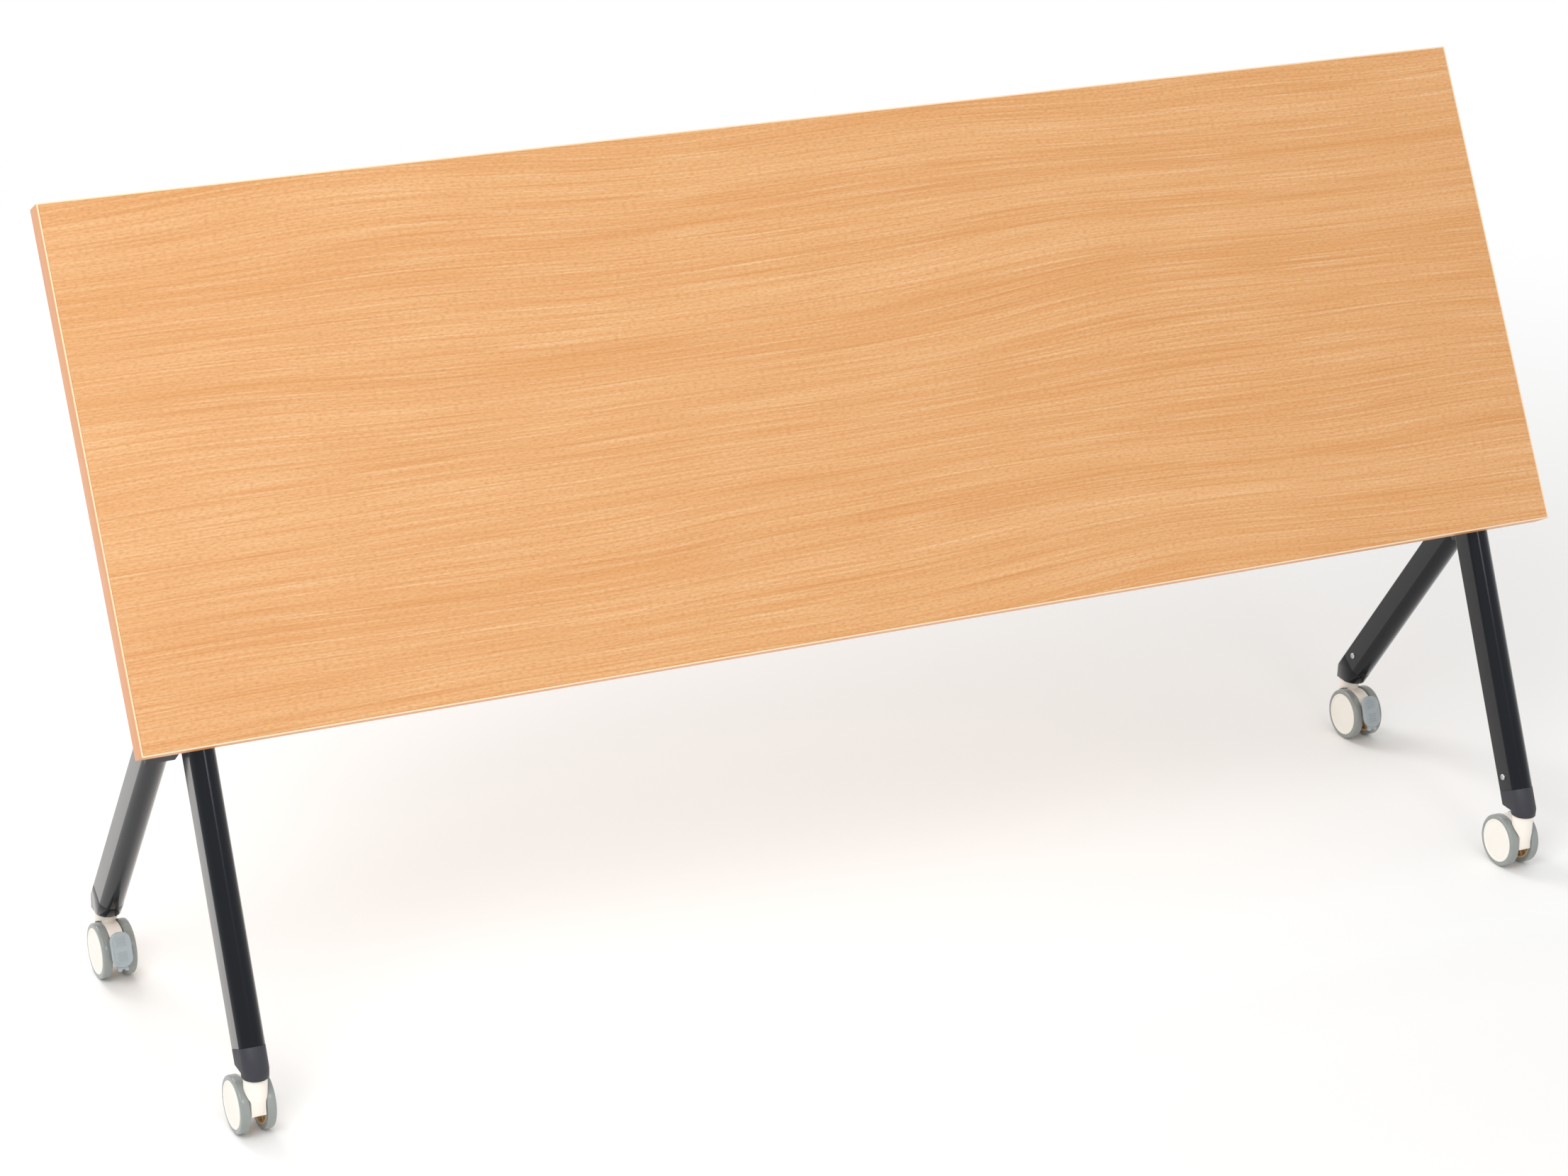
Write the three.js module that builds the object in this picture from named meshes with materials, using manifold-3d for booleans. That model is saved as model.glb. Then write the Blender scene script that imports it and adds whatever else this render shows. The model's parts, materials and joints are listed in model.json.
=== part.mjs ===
// A flip top training table on casters, drawn with its top tilted up for storage.
// Millimetres, +Z up, +Y to the back, X along the length, origin on the floor under the middle.

import * as THREE from 'three';
import { mergeVertices } from 'three/addons/utils/BufferGeometryUtils.js';
import Module from 'manifold-3d';

const wasm = await Module();
wasm.setup();

// Clearances
const FIT_GAP = 0.3;
const RUN_GAP = 0.5;
const WHEEL_GAP = 1.2;

// The top: a laminated board inside a glued edge band
const TOP_LENGTH = 1800;
const TOP_DEPTH = 600;
const TOP_THICKNESS = 28;
const BAND_THICKNESS = 2;

// Where the top turns, and how high it stands in use
const TABLE_HEIGHT = 740;
const PIVOT_Y = 130;
const PIVOT_DROP = 20;
const PIVOT_FROM_EDGE = 357;

// The end frames: a front leg, a rear leg and an upper post that meet in a joint
const FOOT_SPACING = 425;
const FOOT_HEIGHT = 72;
const JOINT_Y = -27;
const JOINT_HEIGHT = 434;
const LEG_INSET = 78;
const REAR_LEG_STEP = 27;
const FRONT_LEG_X = TOP_LENGTH / 2 - LEG_INSET;
const REAR_LEG_X = FRONT_LEG_X + REAR_LEG_STEP;
const LEG_WIDTH = 30;
const LEG_DEPTH = 38;
const LEG_NOSE = 12;
const LEG_WALL = 2;
const LEG_CHAMFER = 2.5;
const POST_DEPTH = 25;
const SPIGOT_LENGTH = 26;
const JOINT_HALF = 16;
const REAR_ARM = 82;
const JOINT_LIP = 2;
const JOINT_ROOT = 15;
const STOP_WIDTH = 20;
const STOP_HEIGHT = 16;

// The plastic caps at the feet, and the screws that hold them
const CAP_BOTTOM = 75;
const CAP_SEAM = 34;
const CAP_SKIRT = 15;
const CAP_FRONT = 15;
const CAP_HEEL = 4;
const REAR_HEEL = 11;
const SCREW_ABOVE_SEAM = 17;
const SCREW_BACK = 5;
const SCREW_HEAD_RADIUS = 3.8;
const SCREW_HEAD_HEIGHT = 2;
const SCREW_RADIUS = 2;
const SCREW_LENGTH = 12;

// The hinge heads on the posts and the brackets under the top
const HEAD_WIDTH = 20;
const HEAD_REACH = 40;
const PIN_RADIUS = 5;
const PIN_HEAD_RADIUS = 8;
const PIN_HEAD_HEIGHT = 3;
const EAR_THICKNESS = 5;
const EAR_RADIUS = 11;
const EAR_CLEARANCE = 2;
const PLATE_THICKNESS = 4;
const PLATE_HALF = 60;
const LOCK_RADIUS = 45;
const LOCK_MARGIN = 9;
const LOCK_SPREAD = THREE.MathUtils.degToRad(14);

// The crossbeam, with the locking rods and their turn handle in it
const BEAM_SIZE = 44;
const BEAM_WALL = 2;
const ROD_RADIUS = 4;
const CRANK_RADIUS = 13;
const CRANK_TURN = THREE.MathUtils.degToRad(40);
const CRANK_PIN_RADIUS = 2.5;
const CRANK_DISC_RADIUS = 17;
const CRANK_DISC_THICKNESS = 4;
const ROD_ARM_WIDTH = 11;
const ROD_ARM_THICKNESS = 6;
const ROD_ARM_REACH = 34;
const HANDLE_LENGTH = 85;
const HANDLE_WIDTH = 24;
const HANDLE_THICKNESS = 9;
const HANDLE_STEM_RADIUS = 7;

// The twin-wheel casters
const WHEEL_RADIUS = 32.5;
const WHEEL_WIDTH = 11.5;
const WHEEL_SPACE = 19;
const TREAD_DEPTH = 5.5;
const TREAD_ROUND = 2;
const HUB_WALL = 3;
const HUB_FACE = 3;
const HUB_DOME = 0.8;
const HUB_BOSS_RADIUS = 9;
const CASTER_TRAIL = 20;
const STEM_RADIUS = 5;
const STEM_COVER = 2;
const STEM_FOOT = 42;
const COLLAR_RADIUS = 13;
const COLLAR_FOOT = 31;
const AXLE_RADIUS = 4;
const WEB_THICKNESS = 17;
const WEB_FOOT = 31;
const WEB_FRONT = 12;
const WEB_BOSS = 9;
const HOOD_RADIUS = 31;

// The rocker pedals of the brakes on the rear casters
const PEDAL_WIDTH = 24;
const PEDAL_HEIGHT = 42;
const PEDAL_THICKNESS = 4;
const PEDAL_REACH = 36;
const PEDAL_PIVOT = 24;
const PEDAL_LIFT = THREE.MathUtils.degToRad(24);
const PEDAL_KNUCKLE = 4;
const PEDAL_STEM_WIDTH = 10;
const PEDAL_STEM_HEIGHT = 8;
const PEDAL_TAB_LENGTH = 5;
const PEDAL_ROOM_ABOVE = 8.5;
const PEDAL_ROOM_BELOW = 12.5;

// Facets of round shapes
const FINE = 32;
const ROUND = 24;
const COARSE = 16;
const NOSE_FACETS = 10;

const X_AXIS = new THREE.Vector3(1, 0, 0);
const Y_AXIS = new THREE.Vector3(0, 1, 0);
const Z_AXIS = new THREE.Vector3(0, 0, 1);

// Points in an end frame's plane are (y, z) pairs
const at = (y, z) => new THREE.Vector2(y, z);
const along = (point, direction, distance) => point.clone().addScaledVector(direction, distance);
const direction = (from, to) => to.clone().sub(from).normalize();
const polar = (centre, radius, angle) => at(
  centre.x + radius * Math.cos(angle),
  centre.y + radius * Math.sin(angle),
);

// Solids for cutting and joining

function volumeOf(geometry) {
  const points = geometry.attributes.position;
  const index = geometry.index;
  const corner = [new THREE.Vector3(), new THREE.Vector3(), new THREE.Vector3()];
  let sum = 0;
  for (let i = 0; i < index.count; i += 3) {
    corner.forEach((v, k) => v.fromBufferAttribute(points, index.getX(i + k)));
    sum += corner[0].dot(corner[1].clone().cross(corner[2])) / 6;
  }
  return sum;
}

function closedGeometry(geometry) {
  const bare = geometry.clone();
  bare.deleteAttribute('normal');
  bare.deleteAttribute('uv');
  const merged = mergeVertices(bare, 1e-4);
  const source = merged.index.array;
  const kept = [];
  for (let i = 0; i < source.length; i += 3) {
    const [a, b, c] = [source[i], source[i + 1], source[i + 2]];
    if (a !== b && b !== c && c !== a) {
      kept.push(a, b, c);
    }
  }
  merged.setIndex(kept);
  if (volumeOf(merged) < 0) {
    for (let i = 0; i < kept.length; i += 3) {
      [kept[i + 1], kept[i + 2]] = [kept[i + 2], kept[i + 1]];
    }
    merged.setIndex(kept);
  }
  return merged;
}

function solid(geometry) {
  const closed = closedGeometry(geometry);
  return new wasm.Manifold(new wasm.Mesh({
    numProp: 3,
    vertProperties: Float32Array.from(closed.attributes.position.array),
    triVerts: Uint32Array.from(closed.index.array),
  }));
}

function join(first, ...rest) {
  return rest.reduce((sum, item) => sum.add(item), first);
}

function cut(body, ...tools) {
  return tools.reduce((left, tool) => left.subtract(tool), body);
}

function geometryOf(body) {
  const mesh = body.getMesh();
  const geometry = new THREE.BufferGeometry();
  const stride = mesh.numProp;
  const points = new Float32Array((mesh.vertProperties.length / stride) * 3);
  for (let i = 0; i < points.length / 3; i += 1) {
    points.set(mesh.vertProperties.subarray(i * stride, i * stride + 3), i * 3);
  }
  geometry.setAttribute('position', new THREE.BufferAttribute(points, 3));
  geometry.setIndex(Array.from(mesh.triVerts));
  geometry.computeVertexNormals();
  return geometry;
}

// Sections and outlines

// A leg's section: flat sides and back, and a rounded nose towards the front
function legSection(inset = 0) {
  const w = LEG_WIDTH / 2 - inset;
  const d = LEG_DEPTH / 2 - inset;
  const nose = Math.max(LEG_NOSE - inset, LEG_WALL);
  const chamfer = Math.max(LEG_CHAMFER - inset / 2, LEG_CHAMFER / 2);
  const shape = new THREE.Shape();
  shape.moveTo(w, nose - d);
  shape.lineTo(w, d - chamfer);
  shape.lineTo(w - chamfer, d);
  shape.lineTo(chamfer - w, d);
  shape.lineTo(-w, d - chamfer);
  shape.lineTo(-w, nose - d);
  shape.absellipse(0, nose - d, w, nose, Math.PI, 2 * Math.PI, false);
  return shape;
}

function blockSection(width, depth, chamfer = 0) {
  const w = width / 2;
  const d = depth / 2;
  const shape = new THREE.Shape();
  if (chamfer === 0) {
    shape.setFromPoints([at(w, -d), at(w, d), at(-w, d), at(-w, -d)]);
    return shape;
  }
  shape.setFromPoints([
    at(w, chamfer - d), at(w, d - chamfer), at(w - chamfer, d), at(chamfer - w, d),
    at(-w, d - chamfer), at(-w, chamfer - d), at(chamfer - w, -d), at(w - chamfer, -d),
  ]);
  return shape;
}

const postSection = (inset = 0) => blockSection(
  LEG_WIDTH - 2 * inset,
  POST_DEPTH - 2 * inset,
  Math.max(LEG_CHAMFER - inset / 2, LEG_CHAMFER / 2),
);

function hollow(outer, inner) {
  outer.holes.push(inner);
  return outer;
}

function circlePath(centre, radius) {
  const path = new THREE.Path();
  path.absarc(centre.x, centre.y, radius, 0, 2 * Math.PI, false);
  return path;
}

// Shapes placed in the frame

// A flat outline in an end frame's plane, given thickness along X
function plate(outline, x0, x1, facets = COARSE) {
  const settings = { depth: x1 - x0, bevelEnabled: false, curveSegments: facets };
  const geometry = new THREE.ExtrudeGeometry(outline, settings);
  geometry.applyMatrix4(new THREE.Matrix4().makeBasis(Y_AXIS, Z_AXIS, X_AXIS));
  geometry.translate(x0, 0, 0);
  return geometry;
}

// A section run from one point of an end frame's plane to another
function bar(section, from, to, x) {
  const axis = direction(from, to);
  const settings = { depth: from.distanceTo(to), bevelEnabled: false, curveSegments: NOSE_FACETS };
  const geometry = new THREE.ExtrudeGeometry(section, settings);
  const frame = new THREE.Matrix4().makeBasis(
    X_AXIS,
    new THREE.Vector3(0, axis.y, -axis.x),
    new THREE.Vector3(0, axis.x, axis.y),
  );
  frame.setPosition(x, from.x, from.y);
  geometry.applyMatrix4(frame);
  return geometry;
}

function rodAlongX(radius, x0, x1, centre, facets = COARSE) {
  const geometry = new THREE.CylinderGeometry(radius, radius, x1 - x0, facets);
  geometry.rotateZ(Math.PI / 2);
  geometry.translate((x0 + x1) / 2, centre.x, centre.y);
  return geometry;
}

function rodAlongZ(radius, z0, z1, x, y, facets = COARSE) {
  const geometry = new THREE.CylinderGeometry(radius, radius, z1 - z0, facets);
  geometry.rotateX(Math.PI / 2);
  geometry.translate(x, y, (z0 + z1) / 2);
  return geometry;
}

function block(x0, x1, y0, y1, z0, z1) {
  const geometry = new THREE.BoxGeometry(x1 - x0, y1 - y0, z1 - z0);
  geometry.translate((x0 + x1) / 2, (y0 + y1) / 2, (z0 + z1) / 2);
  return geometry;
}

// A six-sided body between two four-cornered ends
function loft(start, end) {
  const geometry = new THREE.BufferGeometry();
  geometry.setFromPoints([...start, ...end]);
  const faces = [0, 1, 2, 0, 2, 3, 4, 6, 5, 4, 7, 6];
  for (let i = 0; i < 4; i += 1) {
    const next = (i + 1) % 4;
    faces.push(i, i + 4, next, next, i + 4, next + 4);
  }
  geometry.setIndex(faces);
  return geometry;
}

// A profile of (radius, x) points turned about the X direction
function turned(profile, facets) {
  const geometry = new THREE.LatheGeometry(profile.map(([r, x]) => at(r, x)), facets);
  geometry.rotateZ(-Math.PI / 2);
  return geometry;
}

// Finishes

const FINISH = {
  beech: { color: '#efb478', roughness: 0.45, metalness: 0 },
  band: { color: '#e3a877', roughness: 0.5, metalness: 0 },
  blackPaint: { color: '#1b1c20', roughness: 0.25, metalness: 0.1 },
  casting: { color: '#2b2c30', roughness: 0.45, metalness: 0.2 },
  darkPlastic: { color: '#3f4048', roughness: 0.55, metalness: 0 },
  steel: { color: '#c6c8ca', roughness: 0.3, metalness: 1 },
  ivory: { color: '#f4ece0', roughness: 0.4, metalness: 0 },
  hub: { color: '#f7f5ef', roughness: 0.4, metalness: 0 },
  tread: { color: '#9aa09b', roughness: 0.35, metalness: 0 },
  pedal: { color: '#9fadae', roughness: 0.4, metalness: 0 },
};

function piece(name, shape, finish) {
  const geometry = shape.isBufferGeometry ? closedGeometry(shape) : geometryOf(shape);
  geometry.computeVertexNormals();
  const mesh = new THREE.Mesh(geometry, new THREE.MeshStandardMaterial(FINISH[finish]));
  mesh.name = name;
  return mesh;
}

// The lines of an end frame

const frontFoot = at(-FOOT_SPACING / 2, FOOT_HEIGHT);
const rearFoot = at(FOOT_SPACING / 2, FOOT_HEIGHT);
const frameJoint = at(JOINT_Y, JOINT_HEIGHT);
const pivot = at(PIVOT_Y, TABLE_HEIGHT - TOP_THICKNESS - PIVOT_DROP);
const frontLine = direction(frontFoot, frameJoint);
const rearLine = direction(rearFoot, frameJoint);
const postLine = direction(frameJoint, pivot);
const boardSide = at(-postLine.y, postLine.x);
const topTilt = Math.atan2(postLine.y, postLine.x);
const lockAngle = topTilt / 2 - Math.PI / 2;
const lockPoint = polar(pivot, LOCK_RADIUS, lockAngle);

const frontTubeFoot = along(frontFoot, frontLine, CAP_SEAM);
const frontTubeTop = along(frameJoint, frontLine, -JOINT_HALF);
const rearTubeFoot = along(rearFoot, rearLine, CAP_SEAM);
const rearTubeTop = along(frameJoint, rearLine, -REAR_ARM);
const postFoot = along(frameJoint, postLine, JOINT_HALF);
const postTop = along(pivot, postLine, -HEAD_REACH);
const backOf = (line) => at(line.y, -line.x);

// A stem ends where the leaning back of the rear cap still covers its edge
const stemRoom = STEM_RADIUS + FIT_GAP + STEM_COVER;
const capBack = along(rearFoot, backOf(rearLine), LEG_DEPTH / 2);
const stemTop = along(capBack, rearLine, (rearFoot.x + stemRoom - capBack.x) / rearLine.x).y;

// Legs

// A screw sits in the inner side of a tube, just above the cap
function screwPoint(tubeFoot, line) {
  return along(along(tubeFoot, line, SCREW_ABOVE_SEAM), backOf(line), SCREW_BACK);
}

function screwHole(tubeFoot, line, x) {
  const face = x - LEG_WIDTH / 2;
  const radius = SCREW_RADIUS + FIT_GAP;
  const end = face + SCREW_LENGTH + FIT_GAP;
  return solid(rodAlongX(radius, face - SCREW_LENGTH, end, screwPoint(tubeFoot, line), COARSE));
}

function legTube(name, foot, top, line, x) {
  const section = hollow(legSection(), legSection(LEG_WALL));
  const tube = cut(solid(bar(section, foot, top, x)), screwHole(foot, line, x));
  return piece(name, tube, 'blackPaint');
}

function capScrew(name, tubeFoot, line, x) {
  const face = x - LEG_WIDTH / 2;
  const point = screwPoint(tubeFoot, line);
  const headFrom = face - FIT_GAP - SCREW_HEAD_HEIGHT;
  const headTo = face - FIT_GAP;
  const screw = join(
    solid(rodAlongX(SCREW_HEAD_RADIUS, headFrom, headTo, point, ROUND)),
    solid(rodAlongX(SCREW_RADIUS, headTo - SCREW_HEAD_HEIGHT / 2, face + SCREW_LENGTH, point, COARSE)),
  );
  return piece(name, screw, 'steel');
}

// A foot cap goes on along the leg and stands upright round the caster's stem
function endCap(name, foot, tubeFoot, line, x, isFront) {
  const back = backOf(line);
  const half = LEG_DEPTH / 2 + FIT_GAP;
  const seam = along(tubeFoot, line, -FIT_GAP);
  const seamBack = along(seam, back, half);
  const seamFront = along(seam, back, -half);
  const heel = foot.x + (isFront ? LEG_WIDTH / 2 : REAR_HEEL);
  const frontOutline = [
    at(foot.x - CAP_FRONT, CAP_BOTTOM),
    at(heel, CAP_BOTTOM),
    at(heel, CAP_BOTTOM + CAP_HEEL),
    along(seamBack, line, -CAP_SKIRT),
    seamBack,
    seamFront,
    at(foot.x - CAP_FRONT, seamFront.y),
  ];
  const rearOutline = [
    at(foot.x - 2 * LEG_DEPTH, CAP_BOTTOM),
    at(heel, CAP_BOTTOM),
    at(heel, seamBack.y),
    seamBack,
    seamFront,
  ];
  const outline = new THREE.Shape(isFront ? frontOutline : rearOutline);
  const silhouette = solid(plate(outline, x - LEG_WIDTH, x + LEG_WIDTH));
  const deepest = along(foot, line, -2 * LEG_DEPTH);
  const stock = solid(bar(legSection(), deepest, along(seam, line, LEG_DEPTH), x));
  const leaning = silhouette.intersect(stock);
  const highest = Math.max(seamFront.y, seamBack.y) + FIT_GAP;
  const upright = join(
    solid(rodAlongZ(LEG_WIDTH / 2, CAP_BOTTOM - 1, highest, x, foot.x, FINE)),
    solid(block(x - LEG_WIDTH, x + LEG_WIDTH, foot.x, foot.x + 2 * LEG_DEPTH, CAP_BOTTOM - 1, highest)),
  );
  const body = isFront ? leaning.intersect(upright) : leaning;
  const plugFrom = along(seam, line, -LEG_WALL);
  const plugTo = along(seam, line, SPIGOT_LENGTH + SCREW_RADIUS);
  const plug = solid(bar(legSection(LEG_WALL + FIT_GAP), plugFrom, plugTo, x));
  const bore = rodAlongZ(STEM_RADIUS + FIT_GAP, CAP_BOTTOM - 1, stemTop + FIT_GAP, x, foot.x, COARSE);
  const cap = cut(
    join(body, plug),
    solid(bore),
    screwHole(tubeFoot, line, x),
  );
  return piece(name, cap, 'darkPlastic');
}

// The casting where the front leg, rear leg and post meet, with the stop for the tilted top
function frameJointCasting(name) {
  const rearBack = backOf(rearLine);
  const ends = (centre, half, x0, x1) => [[x0, half], [x1, half], [x1, -half], [x0, -half]].map(
    ([x, offset]) => {
      const point = along(centre, rearBack, offset);
      return new THREE.Vector3(x, point.x, point.y);
    },
  );
  const armFoot = ends(
    along(rearTubeTop, rearLine, FIT_GAP),
    LEG_DEPTH / 2 + JOINT_LIP,
    REAR_LEG_X - LEG_WIDTH / 2 - JOINT_LIP,
    REAR_LEG_X + LEG_WIDTH / 2 + JOINT_LIP,
  );
  const armRoot = ends(
    along(frameJoint, rearLine, -FIT_GAP),
    JOINT_ROOT,
    FRONT_LEG_X - LEG_WIDTH / 2,
    REAR_LEG_X + LEG_WIDTH / 2,
  );
  const legSpace = bar(
    legSection(-FIT_GAP),
    frontFoot,
    along(frontTubeTop, frontLine, FIT_GAP),
    FRONT_LEG_X,
  );
  const arm = cut(solid(loft(armFoot, armRoot)), solid(legSpace));
  const lower = bar(legSection(), along(frontTubeTop, frontLine, FIT_GAP), frameJoint, FRONT_LEG_X);
  const upper = bar(
    postSection(),
    along(frameJoint, postLine, -LEG_WALL),
    along(postFoot, postLine, -FIT_GAP),
    FRONT_LEG_X,
  );
  const stop = bar(
    blockSection(STOP_WIDTH, STOP_HEIGHT),
    frameJoint,
    along(frameJoint, boardSide, PIVOT_DROP - FIT_GAP),
    FRONT_LEG_X,
  );
  const tight = LEG_WALL + FIT_GAP;
  const spigots = [
    bar(legSection(tight), along(frontTubeTop, frontLine, -SPIGOT_LENGTH), frameJoint, FRONT_LEG_X),
    bar(postSection(tight), frameJoint, along(postFoot, postLine, SPIGOT_LENGTH), FRONT_LEG_X),
    bar(
      legSection(tight),
      along(rearTubeTop, rearLine, -SPIGOT_LENGTH),
      along(rearTubeTop, rearLine, JOINT_HALF),
      REAR_LEG_X,
    ),
  ];
  const casting = join(arm, ...[lower, upper, stop, ...spigots].map(solid));
  return piece(name, casting, 'casting');
}

function upperPost(name) {
  const section = hollow(postSection(), postSection(LEG_WALL));
  return piece(name, bar(section, postFoot, postTop, FRONT_LEG_X), 'blackPaint');
}

// Hinge and lock

const headInner = FRONT_LEG_X - HEAD_WIDTH / 2;
const headOuter = FRONT_LEG_X + HEAD_WIDTH / 2;
const innerEarFrom = FRONT_LEG_X - LEG_WIDTH / 2 - EAR_CLEARANCE - EAR_THICKNESS;
const innerEarTo = innerEarFrom + EAR_THICKNESS;
const outerEarFrom = FRONT_LEG_X + LEG_WIDTH / 2 + EAR_CLEARANCE;
const outerEarTo = outerEarFrom + EAR_THICKNESS;

// The head on a post carries the pivot pin, the end of the crossbeam and the rod's guide
function hingeHead(name) {
  const neckFoot = along(postTop, postLine, FIT_GAP);
  const flange = blockSection(BEAM_SIZE, BEAM_SIZE);
  const seat = plate(flange, headInner, headOuter);
  seat.translate(0, lockPoint.x, lockPoint.y);
  const spigot = bar(
    postSection(LEG_WALL + FIT_GAP),
    along(postTop, postLine, -SPIGOT_LENGTH),
    along(postTop, postLine, HEAD_REACH / 4),
    FRONT_LEG_X,
  );
  const head = join(
    solid(bar(blockSection(HEAD_WIDTH, POST_DEPTH), neckFoot, pivot, FRONT_LEG_X)),
    solid(rodAlongX(POST_DEPTH / 2, headInner, headOuter, pivot, ROUND)),
    solid(bar(blockSection(HEAD_WIDTH, POST_DEPTH), lockPoint, pivot, FRONT_LEG_X)),
    solid(seat),
    solid(spigot),
  );
  const holes = [
    rodAlongX(PIN_RADIUS + FIT_GAP, headInner - 1, headOuter + 1, pivot, ROUND),
    rodAlongX(ROD_RADIUS + FIT_GAP, headInner - 1, headOuter + 1, lockPoint, COARSE),
  ];
  return piece(name, cut(head, ...holes.map(solid)), 'casting');
}

function pivotPin(name) {
  const from = innerEarFrom - FIT_GAP;
  const to = outerEarTo + FIT_GAP;
  const pin = join(
    solid(rodAlongX(PIN_RADIUS, from - PIN_HEAD_HEIGHT / 2, to + PIN_HEAD_HEIGHT / 2, pivot, ROUND)),
    solid(rodAlongX(PIN_HEAD_RADIUS, from - PIN_HEAD_HEIGHT, from, pivot, ROUND)),
    solid(rodAlongX(PIN_HEAD_RADIUS, to, to + PIN_HEAD_HEIGHT, pivot, ROUND)),
  );
  return piece(name, pin, 'steel');
}

// Pieces of the top are drawn level, with the pivot at their origin
const underside = PIVOT_DROP;
const centre = at(0, 0);

function hingeBracket(name) {
  const plateTop = underside - FIT_GAP;
  const plateFoot = plateTop - PLATE_THICKNESS;
  const base = block(innerEarFrom, outerEarTo, -PLATE_HALF, PLATE_HALF, plateFoot, plateTop);
  const overlap = plateFoot + PLATE_THICKNESS / 2;
  const small = new THREE.Shape();
  small.moveTo(EAR_RADIUS, overlap);
  small.lineTo(-EAR_RADIUS, overlap);
  small.lineTo(-EAR_RADIUS, 0);
  small.absarc(0, 0, EAR_RADIUS, Math.PI, 2 * Math.PI, false);
  small.holes.push(circlePath(centre, PIN_RADIUS + FIT_GAP));
  const reach = LOCK_RADIUS + LOCK_MARGIN;
  const spread = topTilt / 2 + LOCK_SPREAD;
  const large = new THREE.Shape();
  large.moveTo(EAR_RADIUS, overlap);
  large.lineTo(-EAR_RADIUS, overlap);
  large.lineTo(-EAR_RADIUS, 0);
  large.absarc(0, 0, reach, -Math.PI / 2 - spread, spread - Math.PI / 2, false);
  large.lineTo(EAR_RADIUS, 0);
  const lockHoles = [-1, 1].map(
    (side) => polar(centre, LOCK_RADIUS, (side * topTilt) / 2 - Math.PI / 2),
  );
  large.holes.push(circlePath(centre, PIN_RADIUS + FIT_GAP));
  lockHoles.forEach((hole) => large.holes.push(circlePath(hole, ROD_RADIUS + RUN_GAP)));
  const bracket = join(
    solid(base),
    solid(plate(small, innerEarFrom, innerEarTo)),
    solid(plate(large, outerEarFrom, outerEarTo)),
  );
  return piece(name, bracket, 'casting');
}

function topBoard(name) {
  const inset = BAND_THICKNESS + FIT_GAP;
  const halfLength = TOP_LENGTH / 2 - inset;
  const front = inset - PIVOT_FROM_EDGE;
  const rear = TOP_DEPTH - PIVOT_FROM_EDGE - inset;
  const board = block(-halfLength, halfLength, front, rear, underside, underside + TOP_THICKNESS);
  return piece(name, board, 'beech');
}

function edgeBand(name) {
  const outline = blockSection(TOP_LENGTH, TOP_DEPTH);
  const opening = blockSection(TOP_LENGTH - 2 * BAND_THICKNESS, TOP_DEPTH - 2 * BAND_THICKNESS);
  const settings = { depth: TOP_THICKNESS, bevelEnabled: false };
  const band = new THREE.ExtrudeGeometry(hollow(outline, opening), settings);
  band.translate(0, TOP_DEPTH / 2 - PIVOT_FROM_EDGE, underside);
  return piece(name, band, 'band');
}

// Crossbeam, locking rods and turn handle

const beamEnd = headInner - FIT_GAP;

function crossbeam(name) {
  const inner = BEAM_SIZE - 2 * BEAM_WALL;
  const section = hollow(blockSection(BEAM_SIZE, BEAM_SIZE), blockSection(inner, inner));
  const tube = plate(section, -beamEnd, beamEnd);
  tube.translate(0, lockPoint.x, lockPoint.y);
  const below = lockPoint.y - BEAM_SIZE;
  const stemHole = rodAlongZ(HANDLE_STEM_RADIUS + RUN_GAP, below, lockPoint.y, 0, lockPoint.x, ROUND);
  return piece(name, cut(solid(tube), solid(stemHole)), 'blackPaint');
}

// Drawn at the middle of its turn, about its own upright axis
function turnHandle(name) {
  const discTop = -ROD_ARM_THICKNESS / 2 - RUN_GAP;
  const discFoot = discTop - CRANK_DISC_THICKNESS;
  const gripTop = -BEAM_SIZE / 2 - RUN_GAP;
  const gripFoot = gripTop - HANDLE_THICKNESS;
  const half = HANDLE_WIDTH / 2;
  const grip = new THREE.Shape();
  grip.moveTo(half, 0);
  grip.lineTo(half, HANDLE_LENGTH - half);
  grip.absarc(0, HANDLE_LENGTH - half, half, 0, Math.PI, false);
  grip.lineTo(-half, 0);
  grip.absarc(0, 0, half, Math.PI, 2 * Math.PI, false);
  const settings = { depth: HANDLE_THICKNESS, bevelEnabled: false, curveSegments: COARSE };
  const lever = new THREE.ExtrudeGeometry(grip, settings);
  lever.translate(0, 0, gripFoot);
  const pins = [-1, 1].map((side) => rodAlongZ(
    CRANK_PIN_RADIUS,
    discTop - CRANK_DISC_THICKNESS / 2,
    ROD_ARM_THICKNESS / 2 + RUN_GAP,
    0,
    side * CRANK_RADIUS,
    COARSE,
  ));
  const handle = join(
    solid(rodAlongZ(CRANK_DISC_RADIUS, discFoot, discTop, 0, 0, ROUND)),
    solid(rodAlongZ(HANDLE_STEM_RADIUS, gripFoot + RUN_GAP, discTop - RUN_GAP, 0, 0, ROUND)),
    solid(lever),
    ...pins.map(solid),
  );
  const mesh = piece(name, handle, 'darkPlastic');
  mesh.position.set(0, lockPoint.x, lockPoint.y);
  mesh.rotation.z = -CRANK_TURN / 2;
  return mesh;
}

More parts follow.
